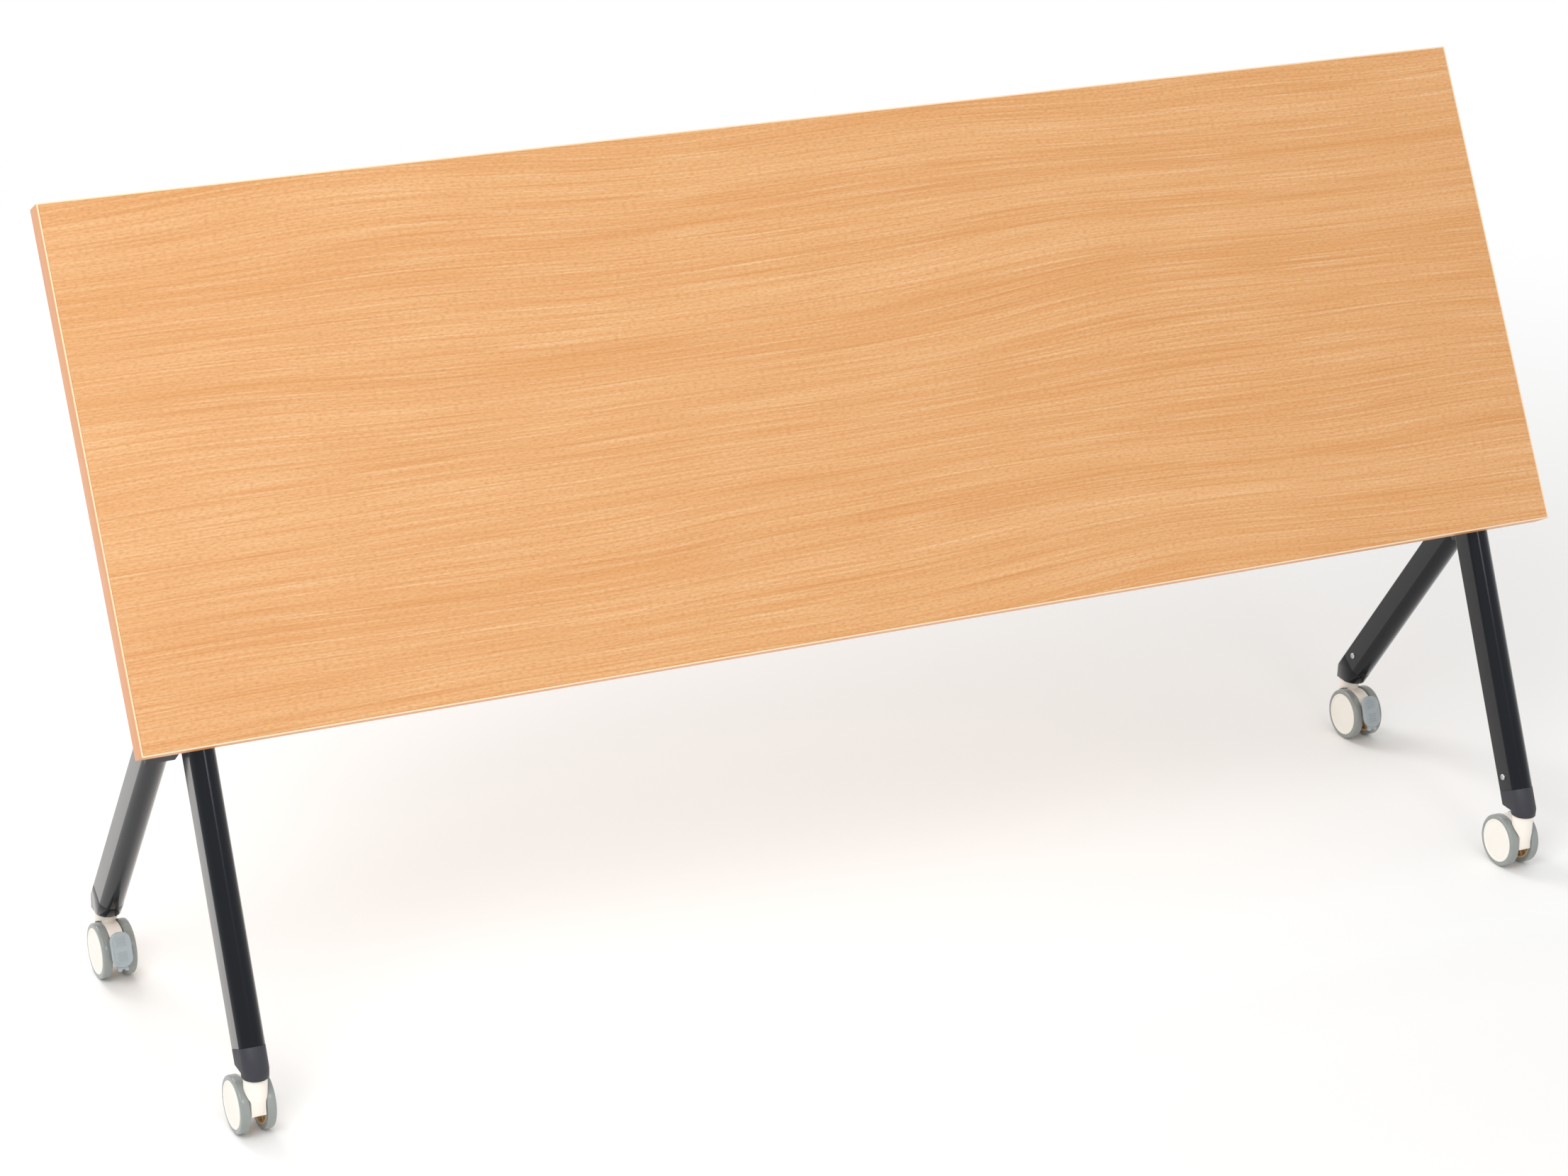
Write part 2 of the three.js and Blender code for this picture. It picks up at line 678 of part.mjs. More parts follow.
// The right-hand rod, about the handle's axis; the left one is the same piece turned round
function lockRod(name, isRight) {
  const turn = CRANK_TURN / 2;
  const slotX = -CRANK_RADIUS * Math.sin(turn);
  const nearest = CRANK_RADIUS * Math.cos(turn);
  const slotHalf = CRANK_PIN_RADIUS + RUN_GAP;
  const armMiddle = -(CRANK_RADIUS + nearest) / 2;
  const armNear = armMiddle + ROD_ARM_WIDTH / 2;
  const armFar = armMiddle - ROD_ARM_WIDTH / 2;
  const z = ROD_ARM_THICKNESS / 2;
  const rodEnd = outerEarFrom - RUN_GAP;
  const body = join(
    solid(block(slotX - ROD_ARM_WIDTH, ROD_ARM_REACH, armFar, armNear, -z, z)),
    solid(block(ROD_ARM_REACH - ROD_ARM_WIDTH, ROD_ARM_REACH, armFar, ROD_RADIUS, -z, z)),
    solid(rodAlongX(ROD_RADIUS, ROD_ARM_REACH - ROD_RADIUS, rodEnd, centre, COARSE)),
  );
  const slot = block(
    slotX - slotHalf,
    slotX + slotHalf,
    -CRANK_RADIUS - slotHalf,
    slotHalf - nearest,
    -ROD_ARM_THICKNESS,
    ROD_ARM_THICKNESS,
  );
  const mesh = piece(name, cut(body, solid(slot)), 'steel');
  mesh.position.set(0, lockPoint.x, lockPoint.y);
  mesh.rotation.z = isRight ? 0 : Math.PI;
  return mesh;
}

// Casters, drawn with the stem at the origin and the wheels trailing towards +Y

const axle = at(CASTER_TRAIL, WHEEL_RADIUS);
const wheelInner = WHEEL_SPACE / 2;
const wheelOuter = wheelInner + WHEEL_WIDTH;
const hubRadius = WHEEL_RADIUS - TREAD_DEPTH;
const axleEnd = wheelOuter - HUB_FACE - 1;
const pedalPivot = at(PEDAL_PIVOT, 0);

// The pedals are drawn level, from the axle, and then lifted round it
function liftRound(geometry) {
  return geometry.rotateX(PEDAL_LIFT).translate(0, axle.x, axle.y);
}

function casterFork(name, isBraked) {
  const hoodFrom = THREE.MathUtils.degToRad(20);
  const hoodTo = THREE.MathUtils.degToRad(150);
  const web = new THREE.Shape();
  web.moveTo(-WEB_FRONT, WEB_FOOT);
  const bossFrom = Math.PI + Math.asin((axle.y - WEB_FOOT) / WEB_BOSS);
  web.absarc(axle.x, axle.y, WEB_BOSS, bossFrom, 2 * Math.PI, false);
  const nose = polar(axle, HOOD_RADIUS, hoodFrom);
  web.lineTo(nose.x, axle.y);
  web.absarc(axle.x, axle.y, HOOD_RADIUS, hoodFrom, hoodTo, false);
  web.lineTo(-WEB_FRONT, polar(axle, HOOD_RADIUS, hoodTo).y);
  const collarTop = CAP_BOTTOM - FIT_GAP;
  const half = WEB_THICKNESS / 2;
  const body = join(
    solid(plate(web, -half, half)),
    solid(rodAlongZ(COLLAR_RADIUS, COLLAR_FOOT, collarTop, 0, 0, ROUND)),
  );
  const wheelReach = WHEEL_RADIUS + WHEEL_GAP;
  const tools = [
    rodAlongX(wheelReach, half, wheelOuter, axle, FINE),
    rodAlongX(wheelReach, -wheelOuter, -half, axle, FINE),
    rodAlongX(AXLE_RADIUS + FIT_GAP, -WHEEL_SPACE, WHEEL_SPACE, axle, COARSE),
    rodAlongZ(STEM_RADIUS + FIT_GAP, STEM_FOOT - FIT_GAP, CAP_BOTTOM, 0, 0, COARSE),
  ];
  if (isBraked) {
    const socket = PEDAL_KNUCKLE + RUN_GAP;
    tools.push(liftRound(rodAlongX(socket, -WHEEL_SPACE, WHEEL_SPACE, pedalPivot, COARSE)));
    tools.push(liftRound(block(
      -WHEEL_SPACE,
      WHEEL_SPACE,
      PEDAL_PIVOT,
      PEDAL_REACH,
      -PEDAL_ROOM_BELOW,
      PEDAL_ROOM_ABOVE,
    )));
  }
  return piece(name, cut(body, ...tools.map(solid)), 'ivory');
}

function casterWheel(hubName, treadName, side) {
  const face = wheelOuter - HUB_DOME;
  const hub = turned([
    [0, wheelOuter],
    [hubRadius * 0.6, wheelOuter - HUB_DOME * 0.3],
    [hubRadius - 1, face],
    [hubRadius, face - 1],
    [hubRadius, wheelInner],
    [hubRadius - HUB_WALL, wheelInner],
    [hubRadius - HUB_WALL, face - HUB_FACE],
    [HUB_BOSS_RADIUS, face - HUB_FACE],
    [HUB_BOSS_RADIUS, wheelInner],
    [AXLE_RADIUS + FIT_GAP, wheelInner],
    [AXLE_RADIUS + FIT_GAP, axleEnd + FIT_GAP],
    [0, axleEnd + FIT_GAP],
  ], ROUND);
  const seat = hubRadius + FIT_GAP;
  const shoulder = WHEEL_RADIUS - TREAD_ROUND;
  const tread = turned([
    [seat, wheelInner],
    [shoulder, wheelInner],
    [WHEEL_RADIUS, wheelInner + TREAD_ROUND],
    [WHEEL_RADIUS, wheelOuter - 2 * TREAD_ROUND],
    [shoulder, wheelOuter - TREAD_ROUND / 2],
    [seat, face],
    [seat, wheelInner],
  ], FINE);
  const meshes = [piece(hubName, hub, 'hub'), piece(treadName, tread, 'tread')];
  meshes.forEach((mesh) => {
    mesh.position.set(0, axle.x, axle.y);
    mesh.rotation.z = side > 0 ? 0 : Math.PI;
  });
  return meshes;
}

function brakePedal(name) {
  const half = PEDAL_WIDTH / 2;
  const straight = PEDAL_HEIGHT / 2 - half;
  const outline = new THREE.Shape();
  outline.moveTo(half, -straight);
  outline.absarc(0, straight, half, 0, Math.PI, false);
  outline.absarc(0, -straight, half, Math.PI, 2 * Math.PI, false);
  const settings = { depth: PEDAL_THICKNESS, bevelEnabled: false, curveSegments: COARSE };
  const face = new THREE.ExtrudeGeometry(outline, settings);
  face.applyMatrix4(new THREE.Matrix4().makeBasis(X_AXIS, Z_AXIS, Y_AXIS.clone().negate()));
  face.translate(0, PEDAL_REACH + PEDAL_THICKNESS, 0);
  const w = PEDAL_STEM_WIDTH / 2;
  const h = PEDAL_STEM_HEIGHT / 2;
  const inside = PEDAL_REACH + PEDAL_THICKNESS / 2;
  const tabFoot = -PEDAL_HEIGHT / 2 - PEDAL_TAB_LENGTH;
  const tabFrom = PEDAL_REACH - PEDAL_THICKNESS;
  const pedal = join(
    solid(face),
    solid(rodAlongX(PEDAL_KNUCKLE, -w, w, pedalPivot, COARSE)),
    solid(block(-w, w, PEDAL_PIVOT, inside, -h, h)),
    solid(block(-w, w, tabFrom, inside, tabFoot, -PEDAL_HEIGHT / 4)),
  );
  const mesh = piece(name, pedal, 'pedal');
  mesh.position.set(0, axle.x, axle.y);
  mesh.rotation.x = PEDAL_LIFT;
  return mesh;
}

function caster(name, x, y, isFront) {
  const group = new THREE.Group();
  group.position.set(x, y, 0);
  group.rotation.z = isFront ? 0 : Math.PI;
  group.add(casterFork(`${name}_caster_fork`, !isFront));
  group.add(piece(`${name}_caster_stem`, rodAlongZ(STEM_RADIUS, STEM_FOOT, stemTop, 0, 0), 'steel'));
  group.add(piece(`${name}_caster_axle`, rodAlongX(AXLE_RADIUS, -axleEnd, axleEnd, axle), 'steel'));
  for (const place of ['inner', 'outer']) {
    const side = (place === 'outer') === isFront ? 1 : -1;
    const names = [`${name}_wheel_hub_${place}`, `${name}_wheel_tread_${place}`];
    group.add(...casterWheel(...names, side));
  }
  if (!isFront) {
    group.add(brakePedal(`${name}_brake_pedal`));
  }
  return group;
}

// Assembly

// Drawn for the right-hand end; the left-hand end is its mirror image
function endFrame(side) {
  const group = new THREE.Group();
  group.scale.x = side === 'left' ? -1 : 1;
  const legs = [
    { end: 'front', foot: frontFoot, from: frontTubeFoot, to: frontTubeTop, line: frontLine, x: FRONT_LEG_X },
    { end: 'rear', foot: rearFoot, from: rearTubeFoot, to: rearTubeTop, line: rearLine, x: REAR_LEG_X },
  ];
  for (const { end, foot, from, to, line, x } of legs) {
    const isFront = end === 'front';
    group.add(legTube(`${end}_leg_${side}`, from, to, line, x));
    group.add(endCap(`${end}_foot_cap_${side}`, foot, from, line, x, isFront));
    group.add(capScrew(`${end}_cap_screw_${side}`, from, line, x));
    group.add(caster(`${end}_${side}`, x, foot.x, isFront));
  }
  group.add(frameJointCasting(`frame_joint_${side}`));
  group.add(upperPost(`upper_post_${side}`));
  group.add(hingeHead(`hinge_head_${side}`));
  group.add(pivotPin(`pivot_pin_${side}`));
  return group;
}

function tiltedTop() {
  const group = new THREE.Group();
  group.position.set(0, pivot.x, pivot.y);
  group.rotation.x = topTilt;
  group.add(topBoard('top_board'));
  group.add(edgeBand('edge_band'));
  for (const side of ['left', 'right']) {
    const bracket = hingeBracket(`hinge_bracket_${side}`);
    bracket.scale.x = side === 'left' ? -1 : 1;
    group.add(bracket);
  }
  return group;
}

// The middle of the whole depth, from the front caps to the upper back edge of the top
const frontmost = frontFoot.x - CAP_FRONT;
const topBack = along(pivot, postLine, TOP_DEPTH - PIVOT_FROM_EDGE);
const rearmost = along(topBack, boardSide, PIVOT_DROP).x;

const table = new THREE.Group();
table.position.y = -(frontmost + rearmost) / 2;
table.add(endFrame('left'));
table.add(endFrame('right'));
table.add(crossbeam('crossbeam'));
table.add(turnHandle('turn_handle'));
table.add(lockRod('lock_rod_left', false));
table.add(lockRod('lock_rod_right', true));
table.add(tiltedTop());

export default table;
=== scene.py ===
# %% Open the table's frame
import json
import math

import bpy
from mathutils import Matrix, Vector


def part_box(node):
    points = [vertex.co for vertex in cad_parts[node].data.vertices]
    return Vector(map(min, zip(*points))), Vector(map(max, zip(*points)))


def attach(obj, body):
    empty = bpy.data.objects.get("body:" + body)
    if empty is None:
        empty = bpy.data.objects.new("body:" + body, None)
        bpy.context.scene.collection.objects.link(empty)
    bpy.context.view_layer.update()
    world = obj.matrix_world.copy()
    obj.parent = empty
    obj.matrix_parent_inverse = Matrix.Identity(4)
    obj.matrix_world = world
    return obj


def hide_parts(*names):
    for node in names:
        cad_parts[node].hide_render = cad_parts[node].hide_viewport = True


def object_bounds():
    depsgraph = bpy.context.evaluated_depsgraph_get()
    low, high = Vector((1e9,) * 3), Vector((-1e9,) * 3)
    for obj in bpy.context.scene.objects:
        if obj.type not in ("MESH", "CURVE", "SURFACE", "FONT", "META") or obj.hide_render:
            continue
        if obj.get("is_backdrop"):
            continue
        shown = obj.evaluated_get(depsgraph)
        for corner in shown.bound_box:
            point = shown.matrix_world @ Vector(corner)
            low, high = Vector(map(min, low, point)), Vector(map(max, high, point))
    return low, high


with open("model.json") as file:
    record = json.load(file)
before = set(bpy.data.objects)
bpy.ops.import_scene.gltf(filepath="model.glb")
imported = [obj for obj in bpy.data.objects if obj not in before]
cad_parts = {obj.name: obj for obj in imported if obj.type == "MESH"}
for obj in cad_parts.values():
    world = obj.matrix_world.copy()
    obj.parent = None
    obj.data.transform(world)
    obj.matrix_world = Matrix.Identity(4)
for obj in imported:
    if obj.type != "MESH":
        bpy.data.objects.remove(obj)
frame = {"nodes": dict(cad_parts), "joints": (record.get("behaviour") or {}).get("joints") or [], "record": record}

cad_low, cad_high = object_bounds()

# %% [markdown]
# ## How this lesson is laid out
# The table stands in metres, +Z up, +Y to the back, with its top tilted up for storage.
# Every piece that shows is modelled over the solid that it stands for and rides on the same
# body, so the top still turns, the casters still swivel and the pedals still rock.
# The sizes below are the table's own. Places are read from the solids wherever they can be.

# %% Sizes and the lines of an end frame
MM = 0.001
TOP_LENGTH = 1800 * MM
TOP_DEPTH = 600 * MM
TOP_THICKNESS = 28 * MM
BAND_THICKNESS = 2 * MM
PIVOT_FROM_EDGE = 357 * MM
PIVOT_DROP = 20 * MM
LEG_WIDTH = 30 * MM
LEG_DEPTH = 38 * MM
CAP_BOTTOM = 75 * MM
CAP_SEAM = 34 * MM
FOOT_HEIGHT = 72 * MM
JOINT_HEIGHT = 434 * MM
JOINT_BEHIND_FOOT = 185.5 * MM
FIT_GAP = 0.3 * MM
WHEEL_RADIUS = 32.5 * MM
CASTER_TRAIL = 20 * MM

joint_ranges = {joint["name"]: joint.get("range_deg") for joint in frame["joints"]}
TOP_TILT = math.radians(joint_ranges["top_flip"][1])


def middle(node):
    """The middle of a solid's box."""
    low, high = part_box(node)
    return (low + high) / 2


PIVOT = middle("pivot_pin_left")
SIDES = {"left": -1, "right": 1}
print("top tilts", round(math.degrees(TOP_TILT), 1), "degrees about", [round(x, 4) for x in PIVOT])

# %% [markdown]
# ## A few tools for modelling by hand
# Modelling here goes as it would with a mouse: add a primitive, select some faces or edges,
# bevel, inset or extrude them, then finish with modifiers. Operators act on what is selected,
# so each tool below first clears the selection and then picks faces or edges by their place.


# %% Placing
def deselect():
    """Leaves edit mode and selects nothing."""
    if bpy.context.object and bpy.context.object.mode != "OBJECT":
        bpy.ops.object.mode_set(mode="OBJECT")
    bpy.ops.object.select_all(action="DESELECT")


def activate(piece):
    deselect()
    piece.select_set(True)
    bpy.context.view_layer.objects.active = piece


def settle(piece, place=(0, 0, 0), turn=(0, 0, 0), size=(1, 1, 1)):
    """Moves, turns and sizes a piece, and puts the result into its mesh."""
    activate(piece)
    piece.location = place
    piece.rotation_euler = turn
    piece.scale = size
    bpy.ops.object.transform_apply(location=True, rotation=True, scale=True)
    return piece


print("tools for placing ready")


# %% Primitives
def add_block(name, low, high):
    """A box between two corners."""
    deselect()
    bpy.ops.mesh.primitive_cube_add(size=1)
    piece = bpy.context.object
    piece.name = name
    low, high = Vector(low), Vector(high)
    return settle(piece, (low + high) / 2, size=high - low)


def add_round(name, radius, start, end, vertices=64):
    """A cylinder from one point to another."""
    deselect()
    line = Vector(end) - Vector(start)
    bpy.ops.mesh.primitive_cylinder_add(vertices=vertices, radius=radius, depth=line.length)
    piece = bpy.context.object
    piece.name = name
    turn = line.to_track_quat("Z", "Y").to_euler()
    return settle(piece, (Vector(start) + Vector(end)) / 2, turn)


print("block and cylinder ready")


# %% Edges and faces
def select_where(piece, kind, test):
    """Selects faces or edges by their middle and direction, and stays in edit mode."""
    activate(piece)
    bpy.ops.object.mode_set(mode="EDIT")
    bpy.ops.mesh.select_mode(type=kind)
    bpy.ops.mesh.select_all(action="DESELECT")
    bpy.ops.object.mode_set(mode="OBJECT")
    mesh = piece.data
    if kind == "FACE":
        for face in mesh.polygons:
            face.select = test(face.center, face.normal)
    else:
        for edge in mesh.edges:
            a, b = (mesh.vertices[i].co for i in edge.vertices)
            edge.select = test((a + b) / 2, (b - a).normalized())
    bpy.ops.object.mode_set(mode="EDIT")


def bevel_where(piece, test, width, segments):
    select_where(piece, "EDGE", test)
    bpy.ops.mesh.bevel(offset=width, segments=segments, affect="EDGES")
    bpy.ops.object.mode_set(mode="OBJECT")


def edit_all(piece):
    """Opens a piece in edit mode with its whole mesh selected."""
    activate(piece)
    bpy.ops.object.mode_set(mode="EDIT")
    bpy.ops.mesh.select_all(action="SELECT")


def trim(piece, point, outwards):
    """Cuts off what lies outside a plane and closes the cut."""
    edit_all(piece)
    bpy.ops.mesh.bisect(plane_co=point, plane_no=outwards, use_fill=True, clear_outer=True)
    bpy.ops.object.mode_set(mode="OBJECT")


print("tools for edges and faces ready")


# %% Modifiers
def modify(piece, kind, **settings):
    """Adds a modifier and applies it."""
    activate(piece)
    modifier = piece.modifiers.new(kind.title(), kind)
    for key, value in settings.items():
        setattr(modifier, key, value)
    bpy.ops.object.modifier_apply(modifier=modifier.name)


def combine(piece, tool, operation):
    modify(piece, "BOOLEAN", object=tool, operation=operation, solver="EXACT")
    bpy.data.objects.remove(tool)


def merge_points(piece, gap):
    """Makes one point of points that lie closer together than this."""
    edit_all(piece)
    bpy.ops.mesh.remove_doubles(threshold=gap)
    bpy.ops.object.mode_set(mode="OBJECT")


def merge_flat(piece):
    """Makes one face of neighbours that lie in one plane, to within a degree."""
    edit_all(piece)
    bpy.ops.mesh.dissolve_limited(angle_limit=math.radians(1))
    bpy.ops.object.mode_set(mode="OBJECT")


BEVEL_GAP = 0.003 * MM


def soften(piece, width, segments=2, angle=35):
    """Rounds every sharp edge a little, as moulding or paint does."""
    modify(
        piece, "BEVEL", width=width, segments=segments, limit_method="ANGLE",
        angle_limit=math.radians(angle), use_clamp_overlap=True,
    )
    merge_points(piece, BEVEL_GAP)


print("modifiers ready")


# %% Joining, copying and finishing
def merge(piece, *others):
    """Joins other pieces into this one."""
    activate(piece)
    for other in others:
        other.select_set(True)
    bpy.ops.object.join()
    return piece


def copy_piece(piece, name, place=(0, 0, 0), turn=(0, 0, 0)):
    """A copy with its own mesh, put in its place."""
    activate(piece)
    bpy.ops.object.duplicate()
    twin = bpy.context.object
    twin.name = name
    return settle(twin, place, turn)


def remove(*pieces):
    for piece in pieces:
        bpy.data.objects.remove(piece)


def finish_piece(piece, body, nodes, finish, slot, angle=32):
    """Smooths, paints and hands a piece to the body that carries it."""
    activate(piece)
    bpy.ops.object.shade_smooth_by_angle(angle=math.radians(angle))
    piece.data.materials.clear()
    piece.data.materials.append(finish)
    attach(piece, body)
    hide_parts(*nodes)


print("tools for finishing ready")

# %% [markdown]
# ## Materials
# Each finish starts from what the real surface is. Colours are written as the sRGB hex
# values a designer would pick, and one function turns them into the linear numbers that
# the shader needs. Patterns are measured in millimetres.


# %% Material tools
def linear(hex_colour):
    """An sRGB hex colour as linear RGBA."""
    channels = [int(hex_colour[i:i + 2], 16) / 255 for i in (1, 3, 5)]
    bright = [c / 12.92 if c <= 0.04045 else ((c + 0.055) / 1.055) ** 2.4 for c in channels]
    return (*bright, 1)


def new_finish(name, hex_colour, roughness, metallic=0.0, **sockets):
    material = bpy.data.materials.new(name)
    material.use_nodes = True
    shader = material.node_tree.nodes["Principled BSDF"]
    shader.inputs["Base Color"].default_value = linear(hex_colour)
    shader.inputs["Roughness"].default_value = roughness
    shader.inputs["Metallic"].default_value = metallic
    for socket, value in sockets.items():
        shader.inputs[socket.replace("_", " ")].default_value = value
    return material


def add_node(material, kind, links=(), inputs=(), **settings):
    """Adds a node with its settings, its constant inputs and the links into it."""
    tree = material.node_tree
    node = tree.nodes.new(kind)
    for key, value in settings.items():
        setattr(node, key, value)
    for socket, value in dict(inputs).items():
        node.inputs[socket].default_value = value
    for socket, source in dict(links).items():
        tree.links.new(source, node.inputs[socket])
    return node


def link(material, source, socket):
    shader = material.node_tree.nodes["Principled BSDF"]
    material.node_tree.links.new(source, shader.inputs[socket])


print("material tools ready")

# %% [markdown]
# ## Beech laminate
# The top's face is a printed beech decor under a clear melamine film: a warm orange tan with
# soft bands along the length, fine grain lines about 2 mm apart, and a shallow pressed relief.
# The pattern is drawn in the board's own plane, so a Mapping node first turns the tilted board
# level. A slow drift bends the grain, as the print does in its wide sweeps.


# %% Place of the grain
def board_place(material):
    """The place of a point on the top, as if the top lay level with its pivot at the origin."""
    at = add_node(material, "ShaderNodeTexCoord").outputs["Object"]
    return add_node(
        material, "ShaderNodeMapping", {"Vector": at},
        {"Location": (0, PIVOT.y, PIVOT.z), "Rotation": (TOP_TILT, 0, 0)}, vector_type="TEXTURE",
    ).outputs["Vector"]


beech = new_finish("beech melamine laminate", "#E5AF78", 0.42, IOR=1.5)
level = board_place(beech)

# The drift: waves about 900 mm long that shift the grain sideways by up to 20 mm
wide = add_node(
    beech, "ShaderNodeMapping", {"Vector": level}, {"Scale": (1.1, 2.6, 0.0)},
).outputs["Vector"]
drift = add_node(
    beech, "ShaderNodeTexNoise", {"Vector": wide}, {"Scale": 1.0, "Detail": 1.0, "Roughness": 0.4},
).outputs["Color"]
shift = add_node(
    beech, "ShaderNodeVectorMath", {0: drift}, {1: (0.0, 0.12, 0.0)}, operation="MULTIPLY",
).outputs["Vector"]
grain_place = add_node(
    beech, "ShaderNodeVectorMath", {0: level, 1: shift}, operation="ADD",
).outputs["Vector"]
print("grain runs along the board and drifts with it")


# %% Beech laminate
def grain_layer(below, hex_colour, size_mm, detail, seed, low, high):
    """Streaks of one colour, of this length and width, over what is below."""
    length, width = size_mm
    scaled = add_node(
        beech, "ShaderNodeMapping", {"Vector": grain_place},
        {"Location": (seed, seed, 0), "Scale": (1000 / length, 1000 / width, 0.0)},
    ).outputs["Vector"]
    streaks = add_node(
        beech, "ShaderNodeTexNoise", {"Vector": scaled},
        {"Scale": 1.0, "Detail": detail, "Roughness": 0.55},
    ).outputs["Fac"]
    share = add_node(
        beech, "ShaderNodeMapRange", {"Value": streaks}, {"From Min": low, "From Max": high},
    ).outputs["Result"]
    mixed = add_node(
        beech, "ShaderNodeMix", {"Factor": share, "A": below}, {"B": linear(hex_colour)},
        data_type="RGBA",
    ).outputs["Result"]
    return mixed, share


ground = add_node(beech, "ShaderNodeRGB").outputs["Color"]
ground.default_value = linear("#E5AF78")
bands, _ = grain_layer(ground, "#DCA064", (2600, 48), 2.0, 3.1, 0.35, 0.70)
streaks, _ = grain_layer(bands, "#D59658", (1100, 6), 2.0, 5.3, 0.50, 0.95)
lines, line_share = grain_layer(streaks, "#C98544", (240, 2.1), 1.5, 7.7, 0.46, 0.95)
pale, _ = grain_layer(lines, "#F2D0A4", (200, 2.0), 1.5, 9.1, 0.50, 1.00)
ripple, relief = grain_layer(pale, "#C38044", (6, 1.6), 1.0, 1.3, 0.42, 1.05)
link(beech, ripple, "Base Color")
sheen = add_node(
    beech, "ShaderNodeMapRange", {"Value": line_share}, {"To Min": 0.38, "To Max": 0.50},
).outputs["Result"]
link(beech, sheen, "Roughness")
press = add_node(
    beech, "ShaderNodeBump", {"Height": relief}, {"Strength": 0.4, "Distance": 0.06 * MM},
).outputs["Normal"]
link(beech, press, "Normal")
print("beech laminate drawn in the board's plane")

# %% [markdown]
# ## Moulded, painted and plated finishes
# No real surface is one flat colour. Powder paint has a faint orange peel, moulded plastic
# takes the spark-eroded grain of its tool, and both vary a little in gloss where hands and
# shoes have been. Each finish gets a fine bump for its skin and a slow change in roughness.


# %% Skins
def skin(material, hex_low, hex_high, grain_mm, depth_mm, rough_low, rough_high, cloud_mm=60):
    """A fine bumpy skin, whose colour and gloss drift slowly between two close values."""
    at = add_node(material, "ShaderNodeTexCoord").outputs["Object"]
    fine = add_node(
        material, "ShaderNodeTexNoise", {"Vector": at},
        {"Scale": 1000 / grain_mm, "Detail": 2.0, "Roughness": 0.6},
    ).outputs["Fac"]
    bump = add_node(
        material, "ShaderNodeBump", {"Height": fine}, {"Strength": 1.0, "Distance": depth_mm * MM},
    ).outputs["Normal"]
    link(material, bump, "Normal")
    cloud = add_node(
        material, "ShaderNodeTexNoise", {"Vector": at},
        {"Scale": 1000 / cloud_mm, "Detail": 3.0, "Roughness": 0.55},
    ).outputs["Fac"]
    gloss = add_node(
        material, "ShaderNodeMapRange", {"Value": cloud},
        {"From Min": 0.3, "From Max": 0.7, "To Min": rough_low, "To Max": rough_high},
    ).outputs["Result"]
    link(material, gloss, "Roughness")
    colour = add_node(
        material, "ShaderNodeMix", {"Factor": cloud}, {"A": linear(hex_low), "B": linear(hex_high)},
        data_type="RGBA",
    ).outputs["Result"]
    link(material, colour, "Base Color")
    return colour


print("skins ready")

# %% [markdown]
# ## The edge band's finish
# The band is an ABS strip in the beech's colour, satin, with faint streaks along the edge. Its
# rounded rim gets a painted highlight: a cream line round the face, painted where the edge
# catches the light. Height over the level board tells the rim from the rest.

# %% Edge band finish
# Width of the painted highlight along the band's rim
RIM = 1.2 * MM
WORK_FACE = PIVOT_DROP + TOP_THICKNESS
# Edge band: satin plastic a little pinker than the laminate, with its own lengthwise streaks
band_abs = new_finish("beech coloured ABS edge band", "#E1A272", 0.38, IOR=1.53)
band_colour = skin(band_abs, "#DE9B65", "#E7A873", 0.8, 0.01, 0.34, 0.44, 40)
band_place = board_place(band_abs)
along_edge = add_node(
    band_abs, "ShaderNodeMapping", {"Vector": band_place}, {"Scale": (9, 9, 300)},
).outputs["Vector"]
streak = add_node(
    band_abs, "ShaderNodeTexNoise", {"Vector": along_edge}, {"Scale": 1.0, "Detail": 2.0},
).outputs["Fac"]
streaked = add_node(
    band_abs, "ShaderNodeMix", {"Factor": streak, "A": band_colour}, {"B": linear("#D18B57")},
    data_type="RGBA",
).outputs["Result"]
# Painted highlight: the top of the band's rounded rim is mixed to cream, standing in for the light it catches
height = add_node(band_abs, "ShaderNodeSeparateXYZ", {"Vector": band_place}).outputs["Z"]
rim_painted_highlight = add_node(
    band_abs, "ShaderNodeMapRange", {"Value": height},
    {"From Min": WORK_FACE - RIM, "From Max": WORK_FACE - RIM / 2},
).outputs["Result"]
rim_highlighted = add_node(
    band_abs, "ShaderNodeMix", {"Factor": rim_painted_highlight, "A": streaked}, {"B": linear("#F6D8B0")},
    data_type="RGBA",
).outputs["Result"]
link(band_abs, rim_highlighted, "Base Color")
print("edge band streaked along its edge, cream at the rim")

# %% [markdown]
# ## The plain finishes
# The other materials each need only a colour, a gloss and a skin. Every solid gets the finish
# of its slot too, so that nothing is left grey.

# %% Plain finishes
# Tube paint: black under a clear coat, so the flat sides gleam at a low angle and the round
# nose stays black
black_paint = new_finish(
    "black gloss powder paint", "#0A0B0E", 0.2, IOR=1.28, Specular_Tint=linear("#8FA0C0"),
    Coat_Weight=1.0, Coat_IOR=1.28, Coat_Roughness=0.12,
)
skin(black_paint, "#06070A", "#0B0D12", 1.6, 0.006, 0.16, 0.24, 90)
# Castings: the same paint over a sand-cast skin, so duller and grainier
casting_paint = new_finish("black paint on cast metal", "#17181B", 0.45, IOR=1.5)
skin(casting_paint, "#141518", "#1D1E22", 1.2, 0.05, 0.38, 0.52, 30)
# Caps: glass-filled nylon from a grained tool, dark blue-grey and nearly matte
dark_nylon = new_finish("dark grey moulded nylon", "#2E2F37", 0.5, IOR=1.5)
skin(dark_nylon, "#25262D", "#32333C", 0.7, 0.03, 0.46, 0.60, 25)
# Screws and pins: bright zinc plate, a soft metal gleam
steel = new_finish("zinc plated steel", "#C9CBCE", 0.3, metallic=1.0)
skin(steel, "#BFC2C6", "#D4D6D9", 0.5, 0.004, 0.22, 0.38, 6)
